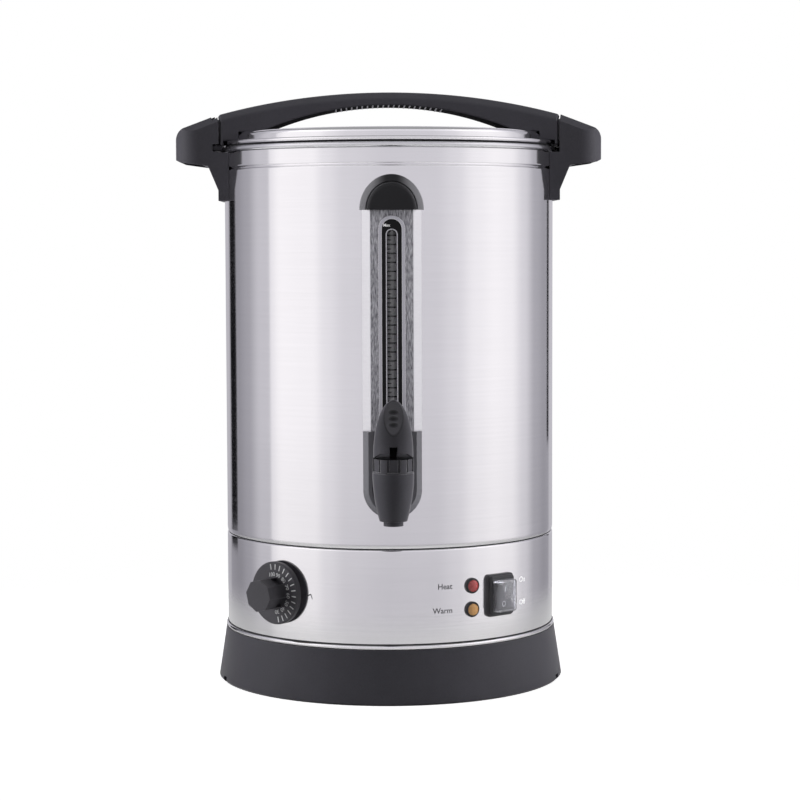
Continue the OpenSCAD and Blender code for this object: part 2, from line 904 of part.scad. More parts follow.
module sight_seals() {
    color([0.75, 0.75, 0.72]) {
        translate([0, -tube_r, shank_z + shank_d / 2])
            ring(tube_d / 2, tube_bore_d / 2, seal_ring_h);
        translate([0, -tube_r, cap_z + fit])
            ring(tube_d / 2 + over, tube_d / 2 + run, seal_ring_h);
    }
}

module sight_cap() {
    dome_d = 0.83 * cap_d;
    color([0.13, 0.13, 0.14])
        difference() {
            on_shell(0, cap_z)
                intersection() {
                    translate([0, 0, shell_r])
                        rotate_extrude()
                            polygon([
                                [0, -cap_d / 6],
                                [cap_d / 2, -cap_d / 6],
                                [cap_d / 2, cap_out / 2],
                                [dome_d / 2, 0.62 * cap_out],
                                [0.94 * dome_d / 2, 0.84 * cap_out],
                                [0.78 * dome_d / 2, 0.96 * cap_out],
                                [0, cap_out]
                            ]);
                    translate([-cap_d, 0, 0])
                        cube([2 * cap_d, cap_d, shell_r + 2 * cap_out]);
                }
            cylinder(r = shell_r + fit, h = shell_top);
            translate([0, -tube_r, cap_z - over])
                cylinder(r = tube_d / 2 + run, h = cap_bore_h + over);
            translate([0, -tube_r, cap_z - over])
                cylinder(r = tube_d / 2 + over + run, h = seal_ring_h + fit + over);
            on_shell(0, cap_screw_z)
                cylinder(d = sight_screw_d + 2 * fit, h = shell_r + cap_out / 2);
        }
}

screw_head_h = 2.2;

// Distance from the axis at which a flat screw head touches the inside of the shell
function head_seat(x, d) = sqrt(pow(shell_in_r, 2) - pow(abs(x) + d, 2)) - screw_head_h;

module sight_screws() {
    color([0.7, 0.7, 0.72])
        for (spot = sight_screw_spots)
            on_shell(0, spot[1])
                translate([spot[0], 0, head_seat(spot[0], sight_screw_d)]) {
                    cylinder(d = 2 * sight_screw_d, h = screw_head_h);
                    cylinder(d = sight_screw_d, h = 2 * screw_head_h + cap_out / 3);
                }
}

// Tap

tap_y = -shell_r - tap_out;
spout_top = shank_z + spout_up;
spout_low = spout_top - spout_h;
seat_z = spout_low + seat_up;
bonnet_top = spout_top + run + bonnet_h;
pin_z = bonnet_top + pin_up;
tube_socket_d = tube_d + 2 * socket_wall;
recess_depth = 3.6;
recess_margin = 2.8;
flange_d = 24.4;
flange_t = 2.8;
neck_d = 19;
plug_h = 6.5;
shank_end = tank_in_r - 9;

module escutcheon_outline(inset) {
    w = escutcheon_w - 2 * inset;
    circle(d = w, $fn = 32);
    translate([-w / 2, 0])
        square([w, channel_z - shank_z]);
}

module tap_escutcheon() {
    slab = 0.1;
    step = escutcheon_out - escutcheon_bevel;
    color([0.2, 0.2, 0.22])
        difference() {
            on_shell(0, shank_z) {
                translate([0, 0, shell_r - 4 * over])
                    linear_extrude(4 * over + step)
                        escutcheon_outline(0);
                hull() {
                    translate([0, 0, shell_r + step - slab])
                        linear_extrude(slab)
                            escutcheon_outline(0);
                    translate([0, 0, shell_r + escutcheon_out - slab])
                        linear_extrude(slab)
                            escutcheon_outline(escutcheon_bevel);
                }
            }
            cylinder(r = shell_r + fit, h = shell_top);
            on_shell(0, shank_z)
                translate([0, 0, shell_r + escutcheon_out - recess_depth])
                    linear_extrude(recess_depth + over) {
                        escutcheon_outline(escutcheon_bevel + recess_margin);
                        translate([0, over])
                            escutcheon_outline(escutcheon_bevel + recess_margin);
                    }
            on_shell(0, shank_z)
                cylinder(d = shank_d + 2 * fit, h = shell_r + escutcheon_out + over);
            translate([0, -tube_r, shank_z])
                cylinder(d = tube_socket_d + 4 * fit, h = channel_z - shank_z + over);
            translate([-tube_socket_d / 2 - 2 * fit, -tube_r, shank_z - shank_d / 2])
                cube([tube_socket_d + 4 * fit, tube_out + over, channel_z - shank_z + shank_d]);
            for (side = [-1, 1])
                on_shell(0, escutcheon_screw_z)
                    translate([side * escutcheon_screw_x, 0, 0])
                        cylinder(d = sight_screw_d + 2 * fit, h = shell_r + cap_out / 2);
        }
}

module tap_body() {
    taper = (spout_top_d - spout_low_d) / 2;
    bulge_r = (spout_h * spout_h + taper * taper) / (2 * taper);
    flange_z = shell_r + escutcheon_out - recess_depth;
    color([0.17, 0.17, 0.18])
        difference() {
            union() {
                translate([0, tap_y, 0])
                    rotate_extrude() {
                        intersection() {
                            translate([spout_top_d / 2 - bulge_r, spout_top])
                                circle(r = bulge_r, $fn = 720);
                            translate([0, spout_low])
                                square([spout_top_d / 2, spout_h]);
                        }
                        translate([0, spout_low - nozzle_h])
                            square([nozzle_d / 2, nozzle_h + over]);
                    }
                on_shell(0, shank_z) {
                    translate([0, 0, shank_end])
                        cylinder(d = shank_d, h = shell_r + tap_out - shank_end);
                    translate([0, 0, flange_z])
                        cylinder(d = flange_d, h = flange_t);
                    translate([0, 0, flange_z])
                        cylinder(d = neck_d, h = shell_r + tap_out - flange_z);
                }
                translate([0, -tube_r, shank_z])
                    cylinder(d = tube_socket_d, h = socket_up);
            }
            translate([0, tap_y, seat_z])
                cylinder(d = chamber_d, h = spout_h);
            translate([0, tap_y, spout_low - nozzle_h - over])
                cylinder(d = nozzle_bore_d, h = spout_h);
            on_shell(0, shank_z)
                translate([0, 0, shank_end - over])
                    cylinder(d = shank_bore_d, h = shell_r + tap_out - shank_end + over);
            translate([0, -tube_r, shank_z])
                cylinder(d = tube_bore_d, h = socket_up + over);
            translate([0, -tube_r, shank_z + shank_d / 2])
                cylinder(d = tube_d + 2 * run, h = socket_up);
        }
}

groove_w = 9.4;
groove_depth = 2;
tongue_w = 6;
tongue_depth = 0.9;

module tap_bonnet() {
    color([0.15, 0.15, 0.16])
        translate([0, tap_y, 0])
            difference() {
                union() {
                    translate([0, 0, spout_top + run])
                        cylinder(d = bonnet_d, h = bonnet_h);
                    translate([0, 0, spout_top - plug_h])
                        cylinder(d = chamber_d - 2 * fit, h = plug_h + over);
                }
                translate([0, 0, spout_top - plug_h - over])
                    cylinder(d = stem_d + 2 * run, h = plug_h + bonnet_h + 3 * over);
                around(bonnet_grooves, -90)
                    difference() {
                        translate([bonnet_d / 2 - groove_depth, -groove_w / 2, spout_top + over])
                            cube([bonnet_d, groove_w, bonnet_h]);
                        translate([bonnet_d / 2 - 2 * groove_depth, -tongue_w / 2, spout_top])
                            cube([2 * groove_depth - tongue_depth, tongue_w, bonnet_h + 2 * over]);
                    }
            }
}

module tap_spacer() {
    color([0.8, 0.8, 0.78])
        difference() {
            intersection() {
                on_shell(0, shank_z)
                    translate([0, 0, tank_r - 3 * over])
                        ring(shank_d / 2 + 3, shank_d / 2 + fit, tank_gap + 4 * over);
                cylinder(r = shell_in_r - fit, h = shell_top);
            }
            cylinder(r = tank_r + fit, h = shell_top);
        }
}

washer_t = 2;
nut_t = 6;

module tap_washer() {
    color([0.8, 0.4, 0.3])
        difference() {
            on_shell(0, shank_z)
                translate([0, 0, tank_in_r - washer_t])
                    ring(shank_d / 2 + 4, shank_d / 2 + fit, 2 * washer_t);
            ring(shell_r, tank_in_r - fit, shell_top, $fn = 360);
        }
}

module tap_nut() {
    color([0.75, 0.75, 0.77])
        on_shell(0, shank_z)
            translate([0, 0, tank_in_r - washer_t - nut_t])
                difference() {
                    cylinder(d = shank_d + 10, h = nut_t, $fn = 6);
                    translate([0, 0, -over])
                        cylinder(d = shank_d + 2 * fit, h = nut_t + 2 * over);
                }
}

cup_top = seat_z + run + cup_h;

module tap_stem() {
    color([0.75, 0.75, 0.77])
        translate([0, tap_y, 0])
            difference() {
                translate([0, 0, cup_top - cup_h / 2])
                    cylinder(d = stem_d, h = pin_z + pin_d - cup_top + cup_h / 2);
                translate([-stem_d, 0, pin_z])
                    rotate([0, 90, 0])
                        cylinder(d = pin_d + 2 * run, h = 2 * stem_d);
            }
}

module tap_seal_cup() {
    color([0.8, 0.78, 0.75])
        translate([0, tap_y, seat_z + run])
            difference() {
                rotate_extrude()
                    polygon([
                        [0, 0],
                        [cup_d / 2 - over, 0],
                        [cup_d / 2, over],
                        [cup_d / 2, cup_h - over],
                        [stem_d / 2 + over, cup_h],
                        [0, cup_h]
                    ]);
                translate([0, 0, cup_h / 2])
                    cylinder(d = stem_d + 2 * run, h = cup_h);
            }
}

module tap_pin() {
    pin_l = lever_w - lever_wall;
    color([0.8, 0.8, 0.82])
        translate([-pin_l / 2, tap_y, pin_z])
            rotate([0, 90, 0])
                cylinder(d = pin_d, h = pin_l);
}

// Return spring: one tube of six sides that winds up round the stem from the seal cup to the bonnet
spring_sides = 6;
spring_rings = 8;
spring_low = cup_top + spring_wire_d / 2 + run;
spring_high = spout_top - plug_h - spring_wire_d / 2 - run;
spring_pitch = (spring_high - spring_low) / spring_turns;
spring_steps = spring_turns * spring_rings;
spring_gap = spring_pitch - spring_wire_d;
echo(spring_gap = spring_gap);

function spring_point(i, j) = let (
    turn = 360 * i / spring_rings,
    side = -360 * j / spring_sides,
    r = (spring_d + spring_wire_d * cos(side)) / 2,
    rise = spring_pitch * i / spring_rings
) [r * cos(turn), r * sin(turn), spring_low + rise + spring_wire_d / 2 * sin(side)];

module tube_mesh(points, rings, sides) {
    skin = [
        for (i = [0 : rings - 2], j = [0 : sides - 1])
            let (a = i * sides + j, b = i * sides + (j + 1) % sides)
                each [[a, a + sides, b + sides], [a, b + sides, b]]
    ];
    first = [for (j = [1 : sides - 2]) [0, j, j + 1]];
    start = (rings - 1) * sides;
    last = [for (j = [1 : sides - 2]) [start, start + j + 1, start + j]];
    polyhedron(points, concat(skin, first, last));
}

module tap_spring() {
    points = [for (i = [0 : spring_steps], j = [0 : spring_sides - 1]) spring_point(i, j)];
    color([0.75, 0.75, 0.77])
        translate([0, tap_y, 0])
            tube_mesh(points, spring_steps + 1, spring_sides);
}

lever_z = bonnet_top + lever_gap;
lever_front = lever_w / 2;
lever_back = 12;
lever_tip_t = 3.5;
lever_steps = 14;
lever_sides = 24;
lever_power = 1.3;
lever_tip_power = 12;
pad_up = 28.2;
pad_depth = 1.6;
pad_r = 76;
pad_lean = 10.5;
dimple_count = 3;
dimple_pitch = 4.7;
dimple_depth = 0.5;
dimple_ring_r = 10.2;
dimple_r = 2;
slot_w = 5.4;
slot_h = 9;
foot_w = 19;
foot_rise = 2.4;

// Half the lever's width at a share of its height: half an ellipse, upright at the foot and round at the tip
function lever_half_w(share) = lever_w / 2 * sqrt(1 - share * share);
function lever_depth(share, foot) =
    (foot * (1 - share) + lever_tip_t * share) * sqrt(1 - pow(share, lever_tip_power));
function lever_middle(share) = -(lever_front + lever_lean - lever_tip_t) * pow(share, lever_power);
function lever_point(share, turn, inset) = let (
    w = max(0.4, lever_half_w(share) - inset),
    depth = cos(turn) > 0 ? lever_front : lever_back,
    d = max(0.4, lever_depth(share, depth) - inset)
) [w * sin(turn), lever_middle(share) - d * cos(turn), share * lever_h];

// Lever's outer form, or its hollow drawn in by a wall, lofted through ovals that lean forward and taper
module lever_form(inset, top) {
    points = [
        for (i = [0 : lever_steps], j = [0 : lever_sides - 1])
            lever_point(sin(asin(top) * i / lever_steps), 360 * j / lever_sides, inset)
    ];
    tube_mesh(points, lever_steps + 1, lever_sides);
}

// Thumb pad: a shallow hollow across the lever's upper front, with three dimples in a row
module thumb_pad() {
    share = pad_up / lever_h;
    front = lever_middle(share) - lever_depth(share, lever_front);
    translate([0, front + pad_depth, pad_up])
        rotate([pad_lean, 0, 0]) {
            translate([-lever_w, -pad_r, 0])
                rotate([0, 90, 0])
                    cylinder(r = pad_r, h = 2 * lever_w, $fn = 360);
            for (i = [0 : dimple_count - 1])
                translate([0, dimple_depth - dimple_r - dimple_ring_r, (i - dimple_count / 2 + 0.4) * dimple_pitch])
                    rotate_extrude()
                        translate([dimple_ring_r, 0])
                            circle(r = dimple_r, $fn = 32);
        }
}

module tap_lever() {
    hollow_h = pin_up - lever_gap + pin_d + 2 * over;
    color([0.14, 0.14, 0.15])
        translate([0, tap_y, lever_z])
            difference() {
                lever_form(0, 1);
                thumb_pad();
                translate([0, 0, -run])
                    lever_form(lever_wall, hollow_h / lever_h);
                translate([-slot_w / 2, -2 * lever_w, -over])
                    cube([slot_w, 2 * lever_w, slot_h + over]);
                rotate([90, 0, 0])
                    linear_extrude(2 * lever_w)
                        polygon([
                            [-foot_w / 2 - 2 * foot_rise, -over],
                            [-foot_w / 2, foot_rise],
                            [foot_w / 2, foot_rise],
                            [foot_w / 2 + 2 * foot_rise, -over]
                        ]);
                translate([-lever_w, 0, pin_up - lever_gap])
                    rotate([0, 90, 0])
                        cylinder(d = pin_d + 2 * run, h = 2 * lever_w);
            }
}

// Thermostat dial

knob_z = shell_r + dial_gap;
knob_face = knob_z + dial_skirt_t;
knob_top = knob_face + grip_h;
shaft_in = 4;
grip_pocket_t = 2.6;
grip_pocket_w = 8;
grip_pocket_h = 0.38 * grip_h;

module dial_knob() {
    rim = 0.8;
    color([0.16, 0.16, 0.17])
        on_shell(-dial_az, dial_z)
            difference() {
                union() {
                    translate([0, 0, knob_z])
                        rotate_extrude()
                            polygon([
                                [0, 0],
                                [dial_d / 2, 0],
                                [dial_d / 2, dial_skirt_t - rim],
                                [dial_d / 2 - rim, dial_skirt_t],
                                [0, dial_skirt_t]
                            ]);
                    translate([0, 0, knob_face - over])
                        rotate([0, 0, 22.5 + grip_turn])
                            cylinder(d = grip_w / cos(22.5), h = grip_h + over, $fn = 8);
                }
                around(4, 45 + grip_turn)
                    translate([grip_w / 2 - grip_pocket_t, -grip_pocket_w / 2, knob_face])
                        cube([grip_w, grip_pocket_w, grip_pocket_h]);
                translate([0, 0, knob_z - over])
                    cylinder(d = nut_across + 2, h = nut_h + over);
                translate([0, 0, knob_z - over])
                    cylinder(d = shaft_d + 2 * run, h = dial_skirt_t + grip_h / 2 + over);
            }
}

module thermostat_shaft() {
    low = shell_in_r - thermostat_front - thermostat_t + over + seat;
    color([0.75, 0.75, 0.77])
        on_shell(-dial_az, dial_z)
            translate([0, 0, low])
                cylinder(d = shaft_d, h = knob_face + grip_h / 2 - shaft_in - low);
}

// Side handles

handle_r = shell_r + handle_reach;
face_low = shell_top - 5.4;
face_top = face_low + handle_face_h;
under_in_z = shell_top - 10.2;
foot_r = shell_r + bracket_t;
under_in_r = foot_r + 7.6;
bracket_low = under_in_z - bracket_h;
arch_top = lid_top + arch_rise;
joint_top = arch_top - arch_drop;
handle_screw_z = bracket_low + bracket_h / 2;
lug_z = lid_z - lug_h - fit;
lug_r = joint_r + lug_reach;
lug_out_y = handle_w / 2 - lug_skin_t - lug_play;
lug_end = asin(lug_out_y / lug_r);
lug_start = asin((lug_out_y - lug_w) / lug_r);
lug_play_az = asin(lug_play / joint_r);
pocket_roof = face_top + handle_top_r / 2 - handle_wall;
pocket_in_r = lug_r + lug_play + handle_wall;
rib_count = 3;
rib_pitch = handle_w / 4;
rib_h = 12;

// Outline of a side handle seen from above, rounded at its outer corners
module handle_plan(inner, outer, w, corner) {
    intersection() {
        translate([inner, -w / 2])
            square([outer - inner, w]);
        union() {
            translate([0, -w / 2])
                square([outer - corner, w]);
            translate([0, -w / 2 + corner])
                square([outer, w - 2 * corner]);
            for (side = [-1, 1])
                translate([outer - corner, side * (w / 2 - corner)])
                    circle(r = corner);
        }
    }
}

// Sector of a ring that lies between two angles and two heights
module sector(inner_r, outer_r, low, high, from, to) {
    rotate([0, 0, from])
        rotate_extrude(angle = to - from)
            translate([inner_r, low])
                square([outer_r - inner_r, high - low]);
}

// Side handle on the +X side: its lug slot opens towards +Y
module side_handle() {
    inner = shell_r - 3 * bracket_t;
    round_x = handle_r - handle_top_r;
    to_round = [round_x - joint_r, joint_top - face_top];
    fall = atan2(to_round[1], to_round[0]) - asin(handle_top_r / norm(to_round));
    difference() {
        intersection() {
            difference() {
                translate([0, handle_w / 2, 0])
                    rotate([90, 0, 0])
                        linear_extrude(handle_w) {
                            polygon([
                                [inner, bracket_low],
                                [foot_r, bracket_low],
                                [foot_r, bracket_low + bracket_foot_h],
                                [under_in_r, under_in_z],
                                [handle_r - handle_low_bevel, face_low - handle_low_bevel / 2],
                                [handle_r, face_low],
                                [handle_r, face_top],
                                [round_x + handle_top_r * sin(fall), face_top + handle_top_r * cos(fall)],
                                [inner, joint_top + tan(fall) * (joint_r - inner)]
                            ]);
                            translate([round_x, face_top])
                                circle(r = handle_top_r);
                        }
                for (side = [-1, 1])
                    translate([joint_r, side * handle_w / 2, joint_top])
                        rotate([0, fall, 0])
                            rotate([-45 * side, 0, 0])
                                translate([-2 * handle_reach, -handle_w / 4, -arch_chamfer / sqrt(2)])
                                    cube([4 * handle_reach, handle_w / 2, handle_w / 4]);
            }
            translate([0, 0, bracket_low - over])
                linear_extrude(joint_top + bracket_h)
                    handle_plan(inner, handle_r, handle_w, handle_corner_r);
        }
        cylinder(r = shell_r + fit, h = shell_top + over);
        translate([0, 0, shell_top - seat])
            cylinder(r = pocket_r, h = joint_top);
        translate([0, 0, bracket_low])
            linear_extrude(pocket_roof - bracket_low)
                handle_plan(pocket_in_r, handle_r - handle_wall, handle_w - 2 * handle_wall,
                    handle_corner_r - handle_wall);
        translate([foot_r, -bracket_clear_w / 2, bracket_low - over])
            cube([pocket_in_r - foot_r + over, bracket_clear_w, under_in_z - bracket_low]);
        sector(shell_r, lug_r + lug_play, lug_z - lug_play, arch_top,
            lug_start - lug_play_az, lug_end + lug_play_az);
        sector(shell_r, lug_r + lug_play, lug_z - lug_play, lug_z + lug_h + lug_play,
            lug_start - lock_angle - lug_play_az, lug_end + 3 * lock_angle / 4);
        for (side = [-1, 1])
            translate([0, side * handle_screw_y, handle_screw_z])
                rotate([0, 90, 0])
                    cylinder(d = handle_screw_d + 2 * fit, h = foot_r + over);
    }
    for (i = [0 : rib_count - 1])
        translate([pocket_in_r - over, (i - (rib_count - 1) / 2) * rib_pitch, pocket_roof - rib_h])
            translate([0, -pocket_rib_t / 2, 0])
                cube([handle_r - handle_wall - pocket_in_r + 2 * over, pocket_rib_t, rib_h + over]);
}

module side_handle_right() {
    color([0.25, 0.24, 0.27])
        side_handle();
}

module side_handle_left() {
    color([0.25, 0.24, 0.27])
        rotate([0, 0, 180])
            side_handle();
}

module handle_screws() {
    head = head_seat(handle_screw_y, handle_screw_d);
    color([0.7, 0.7, 0.72])
        for (turn = [0, 180], side = [-1, 1])
            rotate([0, 0, turn])
                translate([0, side * handle_screw_y, handle_screw_z])
                    rotate([0, 90, 0])
                        translate([0, 0, head]) {
                            cylinder(d = 2 * handle_screw_d, h = screw_head_h);
                            cylinder(d = handle_screw_d, h = foot_r - head - over / 2);
                        }
}

// Lid

lid_ring_r = tank_in_r - 1.2;
lid_screw_d = 3.5;

module lid_seal() {
    color([0.85, 0.85, 0.85])
        translate([0, 0, seal_z])
            ring(rim_r - 2 * rim_roll_r, tank_in_r + seat, seal_t);
}

module lid_plate() {
    corner = lid_corner_r;
    flange_in_r = min(lid_step_r, lid_ring_r) - sheet_t;
    color([0.8, 0.8, 0.82])
        difference() {
            rotate_extrude() {
                translate([lid_ring_r - sheet_t, lid_z - lid_ring_h])
                    square([sheet_t, lid_ring_h + sheet_t]);
                translate([flange_in_r, lid_z])
                    square([lid_r - lid_roll_r - flange_in_r, sheet_t]);
                translate([lid_r - lid_roll_r, lid_z + lid_roll_r])
                    circle(r = lid_roll_r);
                translate([lid_step_r - sheet_t, lid_z])
                    square([sheet_t, lid_step_h - corner]);
                translate([0, lid_top - sheet_t])
                    square([lid_step_r - corner, sheet_t]);
                translate([lid_step_r - corner, lid_top - corner])
                    intersection() {
                        difference() {
                            circle(r = corner);
                            circle(r = corner - sheet_t);
                        }
                        square(corner);
                    }
            }
            for (x = [-1, 1], y = [-1, 1])
                translate([x * lid_screw_x, y * lid_screw_y, lid_z])
                    cylinder(d = lid_screw_d + 2 * fit, h = 2 * lid_step_h);
        }
}

// Lid handle: a loft of chamfered sections along X, wide at the ends and waisted in the middle
loft_steps = 36;
loft_end = joint_r + 2;
arch_square_share = 0.95;
end_low = lug_z + lug_h;
under_top = arch_top - arch_t;
// The handle's foot on the lid reaches inwards past its screws
foot_x = lid_screw_x - 2 * lid_screw_d;

function arch_z(x) = let (u = x / joint_r)
    arch_top - arch_drop * (arch_square_share * u * u + (1 - arch_square_share) * pow(u, 4));
function under_z(x) = abs(x) > foot_x ? end_low
    : max(end_low, under_top - arch_under_r + sqrt(pow(arch_under_r, 2) - x * x));
function arch_half_w(x) = let (u = min(1, abs(x) / joint_r))
    (arch_mid_w + (handle_w - arch_mid_w) * u * u) / 2;
function arch_section(x) = let (
    w = arch_half_w(x),
    low = under_z(x),
    high = arch_z(x),
    c = arch_chamfer,
    e = over
) [
    [x, e - w, low],
    [x, w - e, low],
    [x, w, low + e],
    [x, w, high - c],
    [x, w - 0.35 * c, high - 0.4 * c],
    [x, w - c, high],
    [x, c - w, high],
    [x, 0.35 * c - w, high - 0.4 * c],
    [x, -w, high - c],
    [x, -w, low + e]
];

module lid_handle() {
    points = [for (i = [0 : loft_steps]) each arch_section(-loft_end + 2 * loft_end * i / loft_steps)];
    color([0.25, 0.24, 0.27])
        difference() {
            union() {
                intersection() {
                    tube_mesh(points, loft_steps + 1, len(arch_section(0)));
                    translate([0, 0, end_low - over])
                        cylinder(r = joint_r, h = arch_top);
                }
                for (turn = [0, 180])
                    rotate([0, 0, turn])
                        sector(rim_r + over, lug_r, lug_z, lug_z + lug_h + over, lug_start, lug_end);
            }
            cylinder(r = lid_step_r + fit, h = lid_top + run);
            cylinder(r = rim_r + seat + over / 2, h = lid_z + 2 * lid_roll_r + seat);
            for (x = [-1, 1], y = [-1, 1])
                translate([x * lid_screw_x, y * lid_screw_y, lid_z])
                    cylinder(d = lid_screw_d + 2 * fit, h = lid_step_h + lid_screw_l + over);
        }
}

lid_screw_l = 9;

module lid_screws() {
    color([0.7, 0.7, 0.72])
        for (x = [-1, 1], y = [-1, 1])
            translate([x * lid_screw_x, y * lid_screw_y, lid_top - sheet_t - screw_head_h]) {
                cylinder(d = 2 * lid_screw_d, h = screw_head_h);
                cylinder(d = lid_screw_d, h = screw_head_h + sheet_t + lid_screw_l);
            }
}

base_skirt();
base_plate();
base_feet();
base_screws();
base_bead();
lower_shell();
upper_shell();
tank();
heater_plate();
heater_terminals();
thermal_cutout();
thermostat_body();
thermostat_nut();
thermostat_bulb();
lamp_bezels();
lamp_lens_red();
lamp_lens_amber();
lamp_nuts();
switch_housing();
switch_cover();
inlet_socket();
inlet_pins();
inlet_screws();
sight_cap();
sight_channel();
sight_scale();
sight_tube();
sight_seals();
sight_screws();
tap_escutcheon();
tap_body();
tap_bonnet();
tap_spacer();
tap_washer();
tap_nut();
tap_spring();
side_handle_left();
side_handle_right();
handle_screws();
tap_stem();
tap_seal_cup();
tap_pin();
tap_lever();
dial_knob();
thermostat_shaft();
switch_rocker();
lid_seal();
lid_plate();
lid_handle();
lid_screws();
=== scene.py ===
import math
import bmesh
import bpy
import numpy as np
from mathutils import Matrix, Vector


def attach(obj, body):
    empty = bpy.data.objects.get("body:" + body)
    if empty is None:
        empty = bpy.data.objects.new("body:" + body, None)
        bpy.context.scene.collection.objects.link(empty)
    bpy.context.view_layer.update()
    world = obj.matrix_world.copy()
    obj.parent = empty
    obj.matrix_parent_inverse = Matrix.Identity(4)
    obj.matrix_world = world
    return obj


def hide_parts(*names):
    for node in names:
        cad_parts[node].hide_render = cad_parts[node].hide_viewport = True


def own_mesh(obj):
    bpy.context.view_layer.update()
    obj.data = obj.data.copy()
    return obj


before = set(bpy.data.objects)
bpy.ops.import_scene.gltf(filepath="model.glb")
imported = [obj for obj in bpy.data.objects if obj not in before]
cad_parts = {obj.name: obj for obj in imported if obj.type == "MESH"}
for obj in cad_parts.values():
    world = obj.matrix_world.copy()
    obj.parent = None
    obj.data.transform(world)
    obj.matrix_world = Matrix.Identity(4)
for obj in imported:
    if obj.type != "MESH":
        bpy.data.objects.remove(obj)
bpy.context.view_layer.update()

# Base skirt: one moulding of charcoal plastic with a fine satin grain, flared towards its foot.
# It carries the shells on an inner shelf and hides the works behind it.
MM = 0.001


def put(tree, kind, settings=(), **inputs):
    """Adds a shader node, sets its own settings, and fills its inputs with values or links.

    An underscore in an input's name stands for a space, and i0, i1 ... name an input by its place.
    """
    node = tree.nodes.new(kind if kind.startswith("NodeGroup") else "ShaderNode" + kind)
    for key, value in dict(settings).items():
        setattr(node, key, value)
    for key, value in inputs.items():
        place = int(key[1:]) if key[0] == "i" and key[1:].isdigit() else key.replace("_", " ")
        if isinstance(value, bpy.types.NodeSocket):
            tree.links.new(value, node.inputs[place])
        else:
            node.inputs[place].default_value = value
    return node


def sum_of(tree, operation, first, second):
    """One arithmetic node on two values or links, and its result."""
    return put(tree, "Math", {"operation": operation}, i0=first, i1=second).outputs[0]


def blend_of(tree, share, first, second):
    """Runs from one colour to another by a share."""
    ends = [value if isinstance(value, bpy.types.NodeSocket) else [*value, 1.0] for value in (first, second)]
    return put(tree, "Mix", {"data_type": "RGBA"}, i0=share, i6=ends[0], i7=ends[1]).outputs[2]


def start_group(name, inputs, outputs):
    """Makes an empty node group with float inputs, given with their usual values, and named outputs."""
    group = bpy.data.node_groups.new(name, "ShaderNodeTree")
    for label, value in inputs.items():
        socket = group.interface.new_socket(label, in_out="INPUT", socket_type="NodeSocketFloat")
        socket.default_value = value
    for label, kind in outputs.items():
        group.interface.new_socket(label, in_out="OUTPUT", socket_type="NodeSocket" + kind)
    return group, put(group, "NodeGroupInput").outputs, put(group, "NodeGroupOutput").inputs


def make_moulded_grain():
    """Moulded plastic: fine and broad noise give grain, gloss and shade, and rounded edges give a mask.

    The edge mask is one where the rounded normal leaves the flat one, and the grain is bumped on the
    rounded normal.
    """
    group, given, out = start_group(
        "moulded_grain",
        {"Grain": 1500.0, "Depth": 0.12, "Edge": 0.0006},
        {"Shade": "Float", "Edge": "Float", "Gloss": "Float", "Normal": "Vector"},
    )
    place = put(group, "TexCoord").outputs["Object"]
    fine = put(group, "TexNoise", Vector=place, Scale=given["Grain"], Detail=2.0).outputs[0]
    broad = put(group, "TexNoise", Vector=place, Scale=22.0, Detail=4.0).outputs[0]
    both = sum_of(group, "ADD", fine, broad)
    shade = put(group, "MapRange", Value=both, From_Min=0.7, From_Max=1.3, To_Min=0.0, To_Max=1.0)
    gloss = put(group, "MapRange", Value=both, From_Min=0.7, From_Max=1.3, To_Min=-0.05, To_Max=0.05)
    rounded = put(group, "Bevel", {"samples": 6}, Radius=given["Edge"]).outputs[0]
    flat = put(group, "NewGeometry").outputs["Normal"]
    along = put(group, "VectorMath", {"operation": "DOT_PRODUCT"}, i0=rounded, i1=flat).outputs["Value"]
    edge = put(group, "MapRange", Value=along, From_Min=0.995, From_Max=0.9, To_Min=0.0, To_Max=1.0)
    bump = put(group, "Bump", Strength=given["Depth"], Distance=0.0002, Height=fine, Normal=rounded)
    for label, socket in (("Shade", shade), ("Edge", edge), ("Gloss", gloss), ("Normal", bump)):
        group.links.new(socket.outputs[0], out[label])
    return group


moulded_grain = make_moulded_grain()


def start_material(name):
    """Makes a material with an empty node tree, and gives back both."""
    material = bpy.data.materials.new(name)
    material.use_nodes = True
    material.node_tree.nodes.clear()
    return material, material.node_tree


def show(tree, shader):
    """Joins a shader node to the material's output."""
    tree.links.new(shader.outputs[0], put(tree, "OutputMaterial").inputs["Surface"])


def surfaced(material, base, rough, normal, **shader):
    """Ends a material in the principled shader, from its colour, its roughness and its normal."""
    tree = material.node_tree
    show(tree, put(tree, "BsdfPrincipled", Base_Color=base, Roughness=rough, Normal=normal, **shader))
    return material


def grained(tree, grain=1600.0, depth=0.08, edge=0.0005):
    """Places the moulded grain in a material, and gives back what it puts out."""
    return put(tree, "Group", {"node_tree": moulded_grain}, Grain=grain, Depth=depth, Edge=edge).outputs


def moulded(name, colour, rough, edge_highlight, grain=1500.0, depth=0.12, edge=0.0006, wear=1.0, painted_shade_above=None,
            **shader):
    """Moulded plastic or rubber: its colour drifts by a seventh with the grain and turns paler on edges,
    as a painted highlight along them.

    Above a given height in millimetres, if any, its colour is painted black, as the shade in a gap.
    """
    material, tree = start_material(name)
    skin = grained(tree, grain, depth, edge)
    drift = blend_of(tree, skin["Shade"], [0.86 * c for c in colour], [1.14 * c for c in colour])
    # Edges are painted paler as a highlight; above the given height the colour is painted black as shade.
    base = blend_of(tree, sum_of(tree, "MULTIPLY", skin["Edge"], wear), drift, edge_highlight)
    if painted_shade_above:
        height = put(tree, "SeparateXYZ", Vector=put(tree, "TexCoord").outputs["Object"]).outputs["Z"]
        in_painted_shade = sum_of(tree, "GREATER_THAN", height, painted_shade_above * MM)
        base = blend_of(tree, in_painted_shade, base, (0.008, 0.008, 0.009))
    return surfaced(material, base, sum_of(tree, "ADD", skin["Gloss"], rough), skin["Normal"], **shader)


